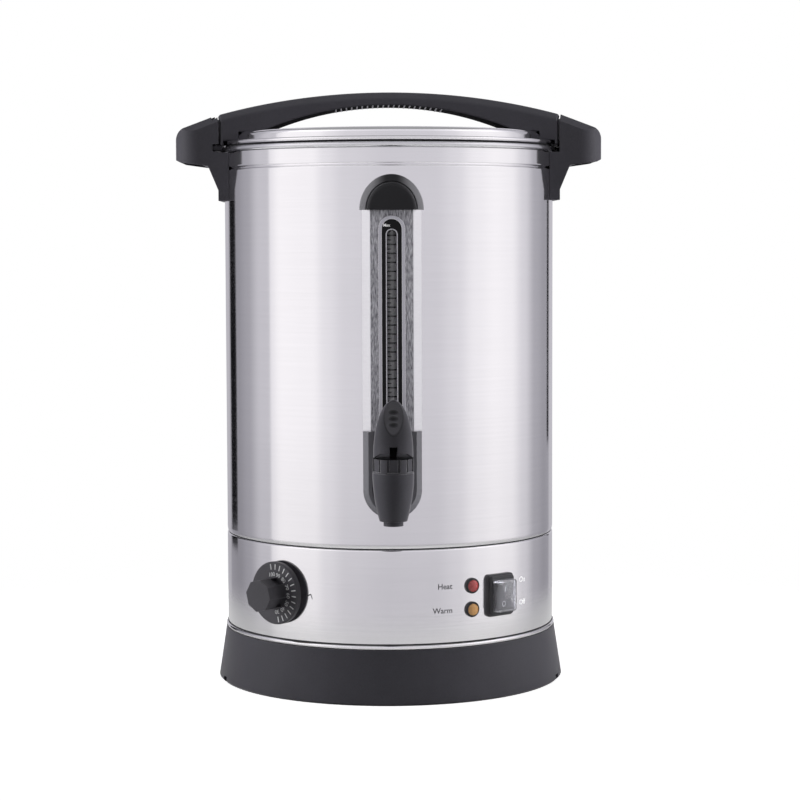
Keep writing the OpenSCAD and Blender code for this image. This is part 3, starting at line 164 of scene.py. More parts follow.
def dress(material, *nodes):
    """Puts a finish on CAD pieces, in every material slot that they carry."""
    for node in nodes:
        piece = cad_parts[node]
        if not piece.material_slots:
            piece.data.materials.append(material)
        for slot in piece.material_slots:
            slot.material = material


charcoal = moulded("charcoal_plastic", (0.068, 0.066, 0.078), 0.4, (0.11, 0.107, 0.122),
                   Specular_IOR_Level=0.25)
dress(moulded("skirt_plastic", (0.05, 0.0485, 0.058), 0.4, (0.1, 0.098, 0.11), 1600.0, 0.08, 0.0005, 0.7,
              Specular_IOR_Level=0.2, Sheen_Weight=0.12, Sheen_Roughness=0.4), "base_skirt")

# Underside: a black painted steel plate with four rubber feet pressed into it.
# Four pan-head screws hold the plate to bosses in the skirt.
dress(moulded("foot_rubber", (0.012, 0.012, 0.013), 0.8, (0.03, 0.03, 0.03), 900.0, 0.25), "base_feet")
dress(moulded("painted_plate", (0.02, 0.02, 0.022), 0.55, (0.06, 0.06, 0.065), 700.0, 0.2), "base_plate")


def make_drawn_sheet():
    """Drawn and polished sheet: fine rings about the urn's axis, with a broad cloud of wear over them.

    Noise is read at (radius, height) times the line count, with a slow change across, so that the
    lines run round the urn on walls and on flat tops.
    """
    group, given, out = start_group(
        "drawn_sheet",
        {"Lines": 900.0, "Depth": 0.05, "Edge": 0.0004},
        {"Shade": "Float", "Gloss": "Float", "Normal": "Vector"},
    )
    place = put(group, "TexCoord").outputs["Object"]
    flat = put(group, "VectorMath", {"operation": "MULTIPLY"}, i0=place, i1=(1.0, 1.0, 0.0)).outputs[0]
    radius = put(group, "VectorMath", {"operation": "LENGTH"}, i0=flat).outputs["Value"]
    split = put(group, "SeparateXYZ", Vector=place).outputs
    turn = sum_of(group, "MULTIPLY", split["X"], 0.02)
    rings = put(group, "CombineXYZ", X=radius, Y=split["Z"], Z=turn).outputs[0]
    lines = put(group, "TexNoise", Vector=rings, Scale=given["Lines"], Detail=3.0).outputs[0]
    cloud = put(group, "TexNoise", Vector=place, Scale=9.0, Detail=5.0, Roughness=0.6).outputs[0]
    both = sum_of(group, "ADD", lines, cloud)
    shade = put(group, "MapRange", Value=both, From_Min=0.6, From_Max=1.4, To_Min=0.0, To_Max=1.0)
    gloss = put(group, "MapRange", Value=both, From_Min=0.6, From_Max=1.4, To_Min=-0.03, To_Max=0.03)
    rounded = put(group, "Bevel", {"samples": 4}, Radius=given["Edge"]).outputs[0]
    bump = put(group, "Bump", Strength=given["Depth"], Distance=0.0001, Height=lines, Normal=rounded)
    for label, socket in (("Shade", shade), ("Gloss", gloss), ("Normal", bump)):
        group.links.new(socket.outputs[0], out[label])
    return group


drawn_sheet = make_drawn_sheet()


def drawn(tree, lines, depth, edge):
    """Places the drawn sheet in a material, and gives back what it puts out."""
    return put(tree, "Group", {"node_tree": drawn_sheet}, Lines=lines, Depth=depth, Edge=edge).outputs


def metal(name, deep, pale, rough, lines=900.0, depth=0.05, edge=0.0004):
    """Bare metal: its colour runs from deep to pale and its gloss drifts with the drawn lines and wear."""
    material, tree = start_material(name)
    skin = drawn(tree, lines, depth, edge)
    base = blend_of(tree, skin["Shade"], deep, pale)
    return surfaced(material, base, sum_of(tree, "ADD", skin["Gloss"], rough), skin["Normal"], Metallic=1.0)


screw_steel = metal("screw_steel", (0.5, 0.5, 0.52), (0.66, 0.66, 0.68), 0.32, 1500.0)
dress(screw_steel, "base_screws")

# Bead and shells: polished stainless sheet. A rolled bright bead closes the skirt's top, the lower
# shell holds the controls, and the upper shell sleeves over its lip. Black strips in the seam between
# the shells and behind the bead are painted shadow, standing for the shade in those gaps.
bead_low, bead_top, bead_out = 39.4, 43.0, 126.3
shell_r, sheet_t = 125.0, 0.8
shelf_z, seam_z, upper_z, shell_top = 34.0, 112.3, 113.0, 400.0
lip_h, lip_r = 6.0, 124.1
inlet_low, inlet_high, inlet_steps, inlet_lines = 63.1, 90.9, (76, 84), (2, -2)
groove_z, groove_w, groove_deep, groove_reach = 388.0, 0.75, 1.6, 4.0
curl_r, curl_turn = 13.0, 16.0
shoulder_r, shoulder_turn = 1.8, 60.0
strip_proud, strip_sunk, strip_down, strip_up = 0.08, 0.05, 0.6, 0.9
bead_strip_r, bead_strip_sunk = 0.3, 0.1


def arc(centre, radius, start, end, count=12):
    """Points (r, z) along an arc, from one angle in degrees to another."""
    turn = np.radians(np.linspace(start, end, count))
    return np.stack([centre[0] + radius * np.cos(turn), centre[1] + radius * np.sin(turn)], 1)


def pressed_groove(radius, end):
    """Points (r, z) up or down a wall with a pressed groove, whose depth is a bell curve of the height."""
    rise = np.linspace(-end, end, 61)
    return np.stack([radius - groove_deep * np.exp(-(rise / groove_w) ** 2), groove_z + rise], 1)


def new_piece(name, points, faces, material, body, sharp=35.0, marks=None):
    """Puts a grid surface in metres into a mesh, merges its poles and seams, and fixes it to its body.

    A closed surface has its faces turned outwards. One with marks, which are values at its points, is a
    sheet whose faces point outwards already, and loses the points that no face uses.
    """
    mesh = bpy.data.meshes.new(name)
    mesh.from_pydata(np.asarray(points).reshape(-1, 3).tolist(), [], [list(face) for face in faces])
    for label, values in (marks or {}).items():
        mesh.attributes.new(label, "FLOAT", "POINT").data.foreach_set("value", values.ravel())
    work = bmesh.new()
    work.from_mesh(mesh)
    bmesh.ops.remove_doubles(work, verts=work.verts, dist=1e-7)
    if marks:
        loose = [vertex for vertex in work.verts if not vertex.link_faces]
        bmesh.ops.delete(work, geom=loose, context="VERTS")
    else:
        bmesh.ops.recalc_face_normals(work, faces=work.faces)
    work.to_mesh(mesh)
    work.free()
    mesh.shade_smooth()
    mesh.set_sharp_from_angle(angle=math.radians(sharp))
    mesh.materials.append(material)
    piece = bpy.data.objects.new(name, mesh)
    bpy.context.scene.collection.objects.link(piece)
    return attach(piece, body)


def grid_faces(rows, columns, wrap_rows, wrap_columns):
    """Quads of a grid numbered row by row, which may close on itself along either way."""
    i = np.repeat(np.arange(rows - (not wrap_rows)), columns - (not wrap_columns))
    j = np.tile(np.arange(columns - (not wrap_columns)), rows - (not wrap_rows))
    up, on = (i + 1) % rows, (j + 1) % columns
    return np.stack([i * columns + j, up * columns + j, up * columns + on, i * columns + on], 1).tolist()


def turned(name, outline, material, body, steps=320, window=None):
    """A closed outline (r, z) in millimetres, carried in a full circle about the urn's axis.

    A window leaves out the faces of an outer and an inner line of the outline between two steps, and
    joins the two walls round the hole.
    """
    r, z = np.concatenate([np.atleast_2d(part) for part in outline]).T * MM
    turn = np.linspace(0, 2 * np.pi, steps, endpoint=False)[:, None]
    points = np.stack([r * np.cos(turn), r * np.sin(turn), np.broadcast_to(z, (steps, len(z)))], -1)
    faces = grid_faces(steps, len(r), True, True)
    if window:
        first, last, out, back = window
        out, back = out % len(r), back % len(r)
        grid = np.array(faces).reshape(steps, len(r), 4)
        keep = np.ones((steps, len(r)), bool)
        keep[first:last, [out, back]] = False
        step = np.arange(first, last) * len(r)
        edges = [np.stack([step + a, step + len(r) + a, step + len(r) + b, step + b], 1)
                 for a, b in ((out, back + 1), (out + 1, back))]
        ends = [[[at * len(r) + spot for spot in (out, out + 1, back, back + 1)]] for at in (first, last)]
        faces = np.concatenate([grid[keep], *edges, *ends]).tolist()
    return new_piece(name, points, faces, material, body)


polished = metal("polished_steel", (0.90, 0.895, 0.905), (0.945, 0.94, 0.95), 0.1, 900.0, 0.012)
bead_r = (bead_top - bead_low) / 2
bead = turned("bright_bead", [
    arc((bead_out - bead_r, bead_low + bead_r), bead_r, -90, 90, 24),
], polished, "urn")
inner_r = shell_r - sheet_t
lower = turned("lower_shell_sheet", [
    (inner_r, shelf_z),
    (shell_r, shelf_z),
    (shell_r, inlet_low),
    (shell_r, inlet_high),
    arc((shell_r - shoulder_r, seam_z - shoulder_r), shoulder_r, 0, shoulder_turn, 14),
    (lip_r, upper_z + lip_h),
    (lip_r - sheet_t, upper_z + lip_h),
    (lip_r - sheet_t, seam_z - lip_h),
    (inner_r, seam_z - lip_h),
    (inner_r, inlet_high),
    (inner_r, inlet_low),
], polished, "urn", window=(*inlet_steps, *inlet_lines))
curl_h = curl_r * math.sin(math.radians(curl_turn))
upper = turned("upper_shell_sheet", [
    (inner_r, upper_z),
    arc((shell_r - curl_r, upper_z + curl_h), curl_r, -curl_turn, 0, 12),
    pressed_groove(shell_r, groove_reach),
    (shell_r, shell_top),
    (inner_r, shell_top),
    pressed_groove(inner_r, groove_reach)[::-1],
], polished, "urn")
for piece, node in ((bead, "base_bead"), (lower, "lower_shell"), (upper, "upper_shell")):
    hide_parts(node)
# Near-black rings in the seam and behind the bead are painted shadow for those gaps; the same black dresses
# the lid's seal.
shadow_and_seal_black = moulded("shadow_and_seal_black", (0.009, 0.009, 0.01), 0.6, (0.02, 0.02, 0.022), 900.0)
seam_shadow_strip = turned("seam_shadow_strip", [
    (lip_r - strip_sunk, seam_z - strip_down),
    (lip_r + strip_proud, seam_z - strip_down),
    (lip_r + strip_proud, upper_z + strip_up),
    (lip_r - strip_sunk, upper_z + strip_up),
], shadow_and_seal_black, "urn")
bead_shadow_strip = turned("bead_shadow_strip", [
    (shell_r - bead_strip_sunk, bead_top - strip_down),
    (shell_r + bead_strip_r, bead_top - strip_down),
    arc((shell_r, bead_top + strip_down), bead_strip_r, 0, 90, 6),
    (shell_r - bead_strip_sunk, bead_top + strip_up),
], shadow_and_seal_black, "urn")

# Tank: one deep-drawn stainless pot that hangs in the shells by its rolled rim.
# Its inside has a satin finish, and the rim's roll is polished.
tank_r, tank_t, tank_z, tank_corner, tank_lip = 119.0, 0.8, 119.3, 4.0, 1.0
rim_r, rim_roll, rim_top = 128.0, 1.9, 404.1
satin_steel = metal("tank_steel", (0.7, 0.7, 0.72), (0.82, 0.82, 0.84), 0.2, 600.0, 0.04)
tank = turned("tank_pot", [
    (0, tank_z),
    arc((tank_r - tank_corner, tank_z + tank_corner), tank_corner, -90, 0),
    (tank_r, rim_top - tank_t),
    (rim_r - rim_roll, rim_top - tank_t),
    arc((rim_r - rim_roll, rim_top - rim_roll), rim_roll, -180, 90, 28),
    arc((tank_r - tank_t + tank_lip, rim_top - tank_lip), tank_lip, 90, 180, 6),
    arc((tank_r - tank_corner, tank_z + tank_corner), tank_corner - tank_t, 0, -90),
    (0, tank_z + tank_t),
], satin_steel, "urn")
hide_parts("tank")

# Heating and control pieces inside the lower shell: a cast plate with a tubular element, its
# terminals, a thermal cut-out, and a capillary thermostat with its nut, bulb and shaft.
brass = metal("terminal_brass", (0.55, 0.4, 0.18), (0.72, 0.55, 0.28), 0.35, 700.0)
cream = moulded("cream_plastic", (0.55, 0.51, 0.43), 0.45, (0.62, 0.59, 0.52), 800.0)
dress(metal("heater_aluminium", (0.42, 0.42, 0.43), (0.58, 0.58, 0.59), 0.5, 300.0, 0.3), "heater_plate")
dress(metal("bulb_copper", (0.5, 0.24, 0.14), (0.68, 0.36, 0.22), 0.35, 700.0), "thermostat_bulb")
dress(moulded("works_black", (0.015, 0.014, 0.014), 0.5, (0.04, 0.04, 0.04), 800.0), "thermal_cutout")
dress(brass, "heater_terminals", "thermostat_nut", "inlet_pins")
dress(cream, "thermostat_body", "lamp_nuts")
dress(screw_steel, "thermostat_shaft")

# Thermostat dial: a black moulded knob with an octagonal grip on a round skirt. The scale from 30 to
# 100 degrees is printed in white round the skirt, with a tick at every five.
dial_az, dial_z, dial_face = -41.0, 77.5, 131.2
tick_in, tick_out, tick_w = 17.3, 21.4, 0.75
digits_r, digits_h, capital_share, ink_half = 13.6, 3.0, 0.7, 0.04
dial_step, dial_first, dial_last = 25.47, 30, 100
dial_ahead, ahead_turn = 60, 92.2
dial_black = moulded("dial_black", (0.06, 0.058, 0.066), 0.42, (0.12, 0.118, 0.13), 1300.0, 0.15,
                     Specular_IOR_Level=0.25)
dress(dial_black, "dial_knob")
ink_white = moulded("white_ink", (0.78, 0.78, 0.8), 0.5, (0.84, 0.84, 0.85), 2000.0, 0.05)


def facing(az, z, out):
    """Frame at an angle from the front, a height and a distance from the axis: X right, Y up, Z outwards."""
    a = math.radians(az)
    right, away = (math.cos(a), math.sin(a), 0.0), (math.sin(a), -math.cos(a), 0.0)
    spot = (away[0] * out * MM, away[1] * out * MM, z * MM)
    return Matrix([[right[i], float(i == 2), away[i], spot[i]] for i in range(3)] + [[0, 0, 0, 1]])


def flat_words(words, height, bold=0.0):
    """Outline letters as points and faces, in millimetres, centred, with their thickness along Z."""
    curve = bpy.data.curves.new("words", "FONT")
    curve.body, curve.size = words, height / capital_share * MM
    curve.align_x, curve.align_y = "CENTER", "CENTER"
    curve.extrude, curve.resolution_u, curve.offset = ink_half * MM, 6, bold * MM
    holder = bpy.data.objects.new("words", curve)
    bpy.context.scene.collection.objects.link(holder)
    bpy.context.view_layer.update()
    mesh = bpy.data.meshes.new_from_object(holder.evaluated_get(bpy.context.evaluated_depsgraph_get()))
    points = np.zeros(len(mesh.vertices) * 3)
    mesh.vertices.foreach_get("co", points)
    faces = [tuple(face.vertices) for face in mesh.polygons]
    bpy.data.objects.remove(holder)
    bpy.data.meshes.remove(mesh)
    return points.reshape(-1, 3) / MM, faces


def printed(name, marks, place, material, body):
    """Joins flat marks, each points and faces in millimetres, and carries their points to where they lie."""
    starts = np.cumsum([0] + [len(spots) for spots, _ in marks])
    points = place(np.concatenate([spots for spots, _ in marks]))
    faces = [[start + corner for corner in side]
             for start, (_, sides) in zip(starts, marks) for side in sides]
    piece = new_piece(name, points, faces, material, body)
    return piece


def bar(low, high):
    """A flat block of ink from one corner (x, y) to the other, as points and faces."""
    x, y, z = np.meshgrid([low[0], high[0]], [low[1], high[1]], [-ink_half, ink_half], indexing="ij")
    faces = [(0, 1, 3, 2), (4, 6, 7, 5), (0, 4, 5, 1), (2, 3, 7, 6), (0, 2, 6, 4), (1, 5, 7, 3)]
    return np.stack([x, y, z], -1).reshape(-1, 3), faces


def turn_by(clockwise, mark, out=0.0):
    """Moves a mark up by out millimetres, then turns it clockwise about the middle by that angle."""
    a = -math.radians(clockwise)
    spin = np.array([[math.cos(a), math.sin(a), 0], [-math.sin(a), math.cos(a), 0], [0, 0, 1]])
    return (mark[0] + [0, out, 0]) @ spin, mark[1]


def on_plane(matrix, lift=0.05):
    """Carries flat marks onto a plane given by its frame, lifted by a hair."""
    turn, spot = np.array(matrix.to_3x3()), np.array(matrix.translation)
    return lambda points: ((points + [0, 0, lift]) * MM) @ turn.T + spot


dial_marks = []
for degrees in range(dial_first, dial_last + 1, 5):
    angle = ahead_turn + (dial_ahead - degrees) * dial_step / 10
    dial_marks.append(turn_by(angle, bar((-tick_w / 2, tick_in), (tick_w / 2, tick_out))))
    if degrees % 10 == 0:
        dial_marks.append(turn_by(angle, flat_words(str(degrees), digits_h), digits_r))
printed("dial_scale", dial_marks, on_plane(facing(dial_az, dial_z, dial_face)), ink_white, "dial")

# Pilot lamps: moulded lenses, red for heating and amber for keeping warm, in black bezels.
# Ring nuts behind the shell hold them.
def lens(name, colour, deep):
    """Moulded lens: coloured plastic that glows faintly, from deep to bright with a coarse grain."""
    material, tree = start_material(name)
    skin = grained(tree, 900.0, 0.3, 0.0008)
    base = blend_of(tree, skin["Shade"], deep, colour)
    return surfaced(material, base, 0.22, skin["Normal"], Coat_Weight=0.3, Emission_Color=base,
                    Emission_Strength=0.2)


bezel_black = moulded("bezel_black", (0.018, 0.018, 0.02), 0.3, (0.06, 0.06, 0.065), 1500.0, 0.06)
dress(lens("red_lens", (0.42, 0.07, 0.07), (0.26, 0.04, 0.04)), "lamp_lens_red")
dress(lens("amber_lens", (0.6, 0.33, 0.12), (0.44, 0.22, 0.07)), "lamp_lens_amber")
dress(bezel_black, "lamp_bezels")

# Power switch: a black stepped bezel clipped into the shell, with a rocker under a clear raised
# splash cover. Plain words for the lamps and the switch are printed on the shell beside them.
switch_az, switch_z, switch_face = 38.6, 75.3, 129.25
rocker_w, rocker_h, mouth_depth, body_depth = 7.8, 10.6, 14.0, 24.0
step_w, step_h, plate_w, plate_h, box_w, box_h = 11.6, 14.3, 12.75, 15.5, 11.0, 14.0
step_drop, plate_drop = 2.2, 4.9
cover_w, cover_h, cover_out, cover_t, cover_round = 9.5, 11.75, 5.6, 1.0, 1.4
mark_in, mark_out, mark_tall, mark_lift = 1.25, 1.75, 1.25, 0.15
off_z, off_out, on_z, on_out, on_tilt = 69.1, 130.1, 79.9, 131.7, 15.2


def rounded_frame(name, rows, place, material, body, corner_steps=9):
    """A surface of rounded rectangles: each row gives half width, half height, corner and distance out.

    A rectangle's outline runs through four quarter circles, whose middles are the corners moved in by
    the corner's radius. Rows of no size close the surface at its two ends.
    """
    wide, tall, corner, out = np.array(rows).T[..., None]
    quarter = np.linspace(0, 90, corner_steps)
    turn = np.radians(np.concatenate([quarter + start for start in (0, 90, 180, 270)]))
    side_x = np.repeat([1, -1, -1, 1], corner_steps)
    side_y = np.repeat([1, 1, -1, -1], corner_steps)
    x = side_x * (wide - corner) + corner * np.cos(turn)
    y = side_y * (tall - corner) + corner * np.sin(turn)
    points = np.stack([x, y, np.broadcast_to(out, x.shape)], -1).reshape(-1, 3)
    return new_piece(name, place(points), grid_faces(len(rows), len(turn), False, True), material, body)


def eased(wide, tall, corner, out, radius, start, end, count=6):
    """Rows that round an edge over: an arc from one angle in degrees to another about a point inside."""
    turn = np.radians(np.linspace(start, end, count))
    inset, rise = radius * (1 - np.cos(turn)), radius * (np.sin(turn) - 1)
    return [(wide - i, tall - i, max(corner - i, 0.05), out + h) for i, h in zip(inset, rise)]


switch_black = moulded("switch_black", (0.03, 0.03, 0.034), 0.35, (0.08, 0.08, 0.088), 1500.0, 0.08)
switch_place = on_plane(facing(switch_az, switch_z, switch_face), 0.0)
bezel = rounded_frame("switch_bezel", [
    (0, 0, 0, -mouth_depth),
    (rocker_w, rocker_h, 0.3, -mouth_depth),
    (rocker_w, rocker_h, 0.3, -0.5),
    (rocker_w + 0.5, rocker_h + 0.5, 0.6, 0),
    *eased(step_w, step_h, 2.4, 0, 1.0, 90, 0),
    (step_w, step_h, 2.4, -step_drop),
    *eased(plate_w, plate_h, 3.0, -step_drop, 0.7, 90, 0),
    (plate_w, plate_h, 3.0, -plate_drop),
    (box_w, box_h, 1.0, -plate_drop),
    (box_w, box_h, 1.0, -body_depth),
    (0, 0, 0, -body_depth),
], switch_place, switch_black, "urn")
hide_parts("switch_housing")
dress(switch_black, "switch_rocker")


def make_clear_cover():
    """Clear soft plastic: nearly colourless, faintly milky, glossy, with a slight ripple, and its edges
    painted paler as a highlight.
    """
    material, tree = start_material("clear_cover")
    skin = grained(tree, 260.0, 0.12, 0.0012)
    # Edges are painted paler, as the highlight along them.
    base = blend_of(tree, skin["Edge"], (0.72, 0.72, 0.76), (1.0, 1.0, 1.0))
    return surfaced(material, base, 0.08, skin["Normal"], IOR=1.35, Transmission_Weight=0.88)


cover = rounded_frame("splash_cover", [
    (0, 0, 0, cover_out - cover_t),
    *eased(cover_w - cover_t, cover_h - cover_t, 1.2, cover_out - cover_t, 0.6, 90, 0, 4),
    (cover_w - cover_t, cover_h - cover_t, 1.2, 0.0),
    (cover_w, cover_h, 2.2, 0.0),
    *eased(cover_w, cover_h, 2.2, cover_out, cover_round, 0, 90),
    (0, 0, 0, cover_out),
], switch_place, make_clear_cover(), "urn")
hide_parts("switch_cover")
ring_turn = np.linspace(0, 2 * np.pi, 25)[:-1]
ring = np.concatenate([
    np.stack([r * np.cos(ring_turn), mark_tall * r * np.sin(ring_turn), z + 0 * ring_turn], 1)
    for r, z in ((mark_in, -ink_half), (mark_in, ink_half), (mark_out, ink_half), (mark_out, -ink_half))
])
printed("rocker_off_mark", [(ring, grid_faces(4, 24, True, True))],
        on_plane(facing(switch_az, off_z, off_out), mark_lift), ink_white, "rocker")
printed("rocker_on_mark", [bar((-0.35, -2.2), (0.35, 2.2))],
        on_plane(facing(switch_az, on_z, on_out) @ Matrix.Rotation(math.radians(on_tilt), 4, "X"), mark_lift),
        ink_white, "rocker")
ink_grey = moulded("grey_ink", (0.1, 0.1, 0.11), 0.5, (0.13, 0.13, 0.14), 2000.0, 0.05)
# The pale ink glows a little, painted light that keeps the words bright where the lamps leave them dim.
ink_glowing = moulded("glowing_ink", (0.8, 0.8, 0.82), 0.5, (0.84, 0.84, 0.85), 2000.0, 0.05,
                     Emission_Color=(1, 1, 1, 1), Emission_Strength=0.4)
word_h, word_bold, word_lift = 4.0, 0.06, 0.05
pointer_az, pointer_z, pointer_slant, pointer_half = -28.6, 76.6, 0.1, 0.5


def on_wall(az, z):
    """Wraps flat marks round the shell: across becomes an angle, up a height, thickness a radius."""
    def carry(points):
        turn = math.radians(az) + points[:, 0] / shell_r
        out = (shell_r + word_lift + points[:, 2]) * MM
        return np.stack([out * np.sin(turn), -out * np.cos(turn), (z + points[:, 1]) * MM], 1)
    return carry


for name, words, az, z, ink, slot in (
    ("heat", "Heat", 17.6, 84.4, ink_grey, "scale_black"),
    ("warm", "Warm", 16.8, 66.9, ink_grey, "scale_black"),
    ("on", "On", 50.4, 83.6, ink_glowing, "cream_plastic"),
    ("off", "Off", 50.4, 66.7, ink_glowing, "cream_plastic"),
):
    printed("word_" + name, [flat_words(words, word_h, word_bold)], on_wall(az, z), ink, "urn")
stroke = np.array([[-3.0, 0.1], [0.8, 1.5], [2.0, -1.8]])
across = [pointer_slant, pointer_half]
arrow = np.concatenate([stroke + across, stroke[::-1] - across])
arrow = np.concatenate([np.pad(arrow, ((0, 0), (0, 1)), constant_values=z) for z in (-ink_half, ink_half)])
printed("dial_pointer", [(arrow, [(0, 1, 4, 5), (1, 2, 3, 4), (6, 7, 10, 11), (7, 8, 9, 10)]
                          + [(i, (i + 1) % 6, 6 + (i + 1) % 6, 6 + i) for i in range(6)])],
        on_wall(pointer_az, pointer_z), ink_grey, "urn")

# Power inlet at the back: a black moulded socket let into the lower shell's opening.
# Its screws have the same steel as those of the gauge, the side handles and the lid.
dress(bezel_black, "inlet_socket")
dress(screw_steel, "inlet_screws", "sight_screws", "handle_screws", "lid_screws")

# Sight gauge: a bright pressed channel with a pebbled recess and an oval frame, a black scale strip
# with a pale rim round its window, and a grey tube behind it, under a half-round black cap.
recess_half, recess_floor, frame_half = 15.2, 134.5, 9.5
strip_face, window_half, window_top, window_low = 135.7, 3.9, 341.9, 198.8
rim_half, rim_proud, rim_sunk = 0.5, 0.5, 0.1
cap_z, cap_r, cap_tall, cap_gap = 355.5, 22.9, 1.1, 0.1
flange_r, flange_light_from, flange_light_full = 18.3, 3.0, 15.0
max_z, max_x, max_h, max_bold, max_lift = 344.6, -3.6, 2.0, 0.08, 0.06


def make_channel_steel():
    """Bright pressed steel whose recess floor, found by its depth and width, is pebbled and darker.

    The pebbles are noise drawn out along the height; their low spots are painted darker as the shade in
    them. The narrow raised frame is darker, and its edges are painted white as a highlight.
    """
    material, tree = start_material("channel_steel")
    skin = drawn(tree, 700.0, 0.01, 0.0008)
    place = put(tree, "TexCoord").outputs["Object"]
    split = put(tree, "SeparateXYZ", Vector=place).outputs
    aside = sum_of(tree, "ABSOLUTE", split["X"], 0.0)
    deep = sum_of(tree, "GREATER_THAN", split["Y"], -(recess_floor + 0.4) * MM)
    floor = sum_of(tree, "MULTIPLY", sum_of(tree, "LESS_THAN", aside, (recess_half - 0.1) * MM), deep)
    narrow = sum_of(tree, "LESS_THAN", aside, (frame_half + 0.2) * MM)
    raised = sum_of(tree, "MULTIPLY", narrow, sum_of(tree, "SUBTRACT", 1.0, deep))
    tall = put(tree, "VectorMath", {"operation": "MULTIPLY"}, i0=place, i1=(1.0, 1.0, 0.16)).outputs[0]
    pebbles = put(tree, "TexNoise", Vector=tall, Scale=1500.0, Detail=3.0, Roughness=0.6).outputs[0]
    height = sum_of(tree, "MULTIPLY", pebbles, floor)
    bump = put(tree, "Bump", Strength=0.5, Distance=0.0006, Height=height, Normal=skin["Normal"])
    bright = blend_of(tree, skin["Shade"], (0.86, 0.86, 0.875), (0.93, 0.93, 0.945))
    share = put(tree, "MapRange", Value=pebbles, From_Min=0.32, From_Max=0.68).outputs[0]
    # The pebbles' low spots are painted darker, as the shade in the pits.
    pebbles_and_shade = blend_of(tree, share, (0.2, 0.2, 0.215), (0.72, 0.72, 0.74))
    # The raised frame's edges are painted white, as a highlight along them.
    edge_highlight = grained(tree, 900.0, 0.0, 0.0007)["Edge"]
    ridge_highlight = blend_of(tree, edge_highlight, (0.5, 0.5, 0.53), (1.0, 1.0, 1.0))
    base = blend_of(tree, raised, blend_of(tree, floor, bright, pebbles_and_shade), ridge_highlight)
    gloss = sum_of(tree, "ADD", skin["Gloss"], sum_of(tree, "MULTIPLY_ADD", floor, 0.2))
    return surfaced(material, base, gloss, bump.outputs[0], Metallic=1.0)


dress(make_channel_steel(), "sight_channel")
scale_black = moulded("scale_black", (0.006, 0.006, 0.007), 0.4, (0.03, 0.03, 0.032), 2000.0, 0.05,
                      Specular_IOR_Level=0.2)
dress(scale_black, "sight_scale")
tick_pitch, tick_start = 6.35, 210.0


def make_gauge_tube():
    """Gauge tube: grey glossy wall with black level lines at a steady pitch, half of them short.

    The lines are where the height's remainder over the pitch is small; the short ones lie half a pitch
    between them, on the left side.
    """
    material, tree = start_material("tube_glass")
    skin = grained(tree, 200.0, 0.05, 0.0004)
    split = put(tree, "SeparateXYZ", Vector=put(tree, "TexCoord").outputs["Object"]).outputs
    rise = sum_of(tree, "SUBTRACT", split["Z"], tick_start * MM)
    share = sum_of(tree, "DIVIDE", rise, tick_pitch * MM)
    line = sum_of(tree, "LESS_THAN", sum_of(tree, "FRACT", share, 0.0), 0.16)
    half = sum_of(tree, "FRACT", sum_of(tree, "ADD", share, 0.5), 0.0)
    left = sum_of(tree, "LESS_THAN", split["X"], -0.0004)
    short = sum_of(tree, "MULTIPLY", sum_of(tree, "LESS_THAN", half, 0.12), left)
    mark = sum_of(tree, "MAXIMUM", line, short)
    wall = blend_of(tree, skin["Shade"], (0.56, 0.56, 0.58), (0.66, 0.66, 0.68))
    base = blend_of(tree, mark, wall, (0.012, 0.012, 0.013))
    return surfaced(material, base, 0.15, skin["Normal"], Coat_Weight=0.3)


dress(make_gauge_tube(), "sight_tube")
dress(moulded("seal_rubber", (0.55, 0.55, 0.53), 0.6, (0.6, 0.6, 0.58), 700.0), "sight_seals", "tap_seal_cup",
      "tap_spacer")
dress(moulded("red_fibre", (0.3, 0.1, 0.07), 0.7, (0.34, 0.13, 0.1), 700.0, 0.3), "tap_washer")


def rod_faces(rows, columns):
    """Quads of a grid that closes on itself along its rows, with one face at each end."""
    ends = [list(range(columns)), list(range((rows - 1) * columns, rows * columns))]
    return grid_faces(rows, columns, False, True) + ends


def window_rim():
    """A low rounded rim along the window's edge: a half-round section carried up, over and down.

    The path is a straight side, a half circle about the window's head, and the other side.
    """
    head = window_top - window_half
    turn = np.radians(np.linspace(0, 180, 25))
    side_x = np.concatenate([[1], np.cos(turn), [-1]])[:, None]
    side_z = np.concatenate([[0], np.sin(turn), [0]])[:, None]
    path_z = np.concatenate([[window_low], head + window_half * np.sin(turn), [window_low]])[:, None]
    bow = np.radians(np.linspace(0, 180, 9))
    across, proud = rim_half * np.cos(bow), rim_proud * np.sin(bow)
    x, z = side_x * (window_half + across), path_z + side_z * across
    y = np.broadcast_to(-(strip_face - rim_sunk + proud), x.shape)
    return np.stack([x, y, z], -1) * MM, rod_faces(*x.shape)


rim_steel = metal("rim_steel", (0.42, 0.42, 0.44), (0.54, 0.54, 0.56), 0.25, 900.0)
rim = new_piece("window_rim", *window_rim(), rim_steel, "urn")


def half_dome():
    """Half-round cap: a stepped profile turned by half a circle about the axis that points outwards,
    and drawn out a little upwards.

    Its back follows the shell's wall, and the strip between its first and last lines is its flat foot.
    """
    turn = np.radians(np.linspace(0, 180, 97))
    profile = np.concatenate([
        arc((cap_r - 0.8, 7.9), 0.8, 0, 65, 5),
        arc((18.6, 9.7), 0.5, 62, 100, 4),
        [(18.0, 9.9)],
        [(17.85, 11.2)],
        arc((14.6, 13.4), 3.0, 15, 82, 10),
        [(10.0, 16.65)],
        [(5.0, 16.78)],
        [(0.0, 16.8)],
    ])
    back_r = np.array([0.0, 8.0, 14.0, 18.0, 20.5, cap_r])[:, None]
    front_r, front_out = profile.T[..., None]
    wall = np.sqrt((shell_r + cap_gap) ** 2 - (back_r * np.cos(turn)) ** 2)
    out = np.concatenate([wall, shell_r + np.broadcast_to(front_out, (len(profile), len(turn)))])
    r = np.concatenate([back_r, front_r])
    points = np.stack([r * np.cos(turn), -out, cap_z + cap_tall * r * np.sin(turn)], -1) * MM
    return points, grid_faces(len(r), len(turn), False, True)


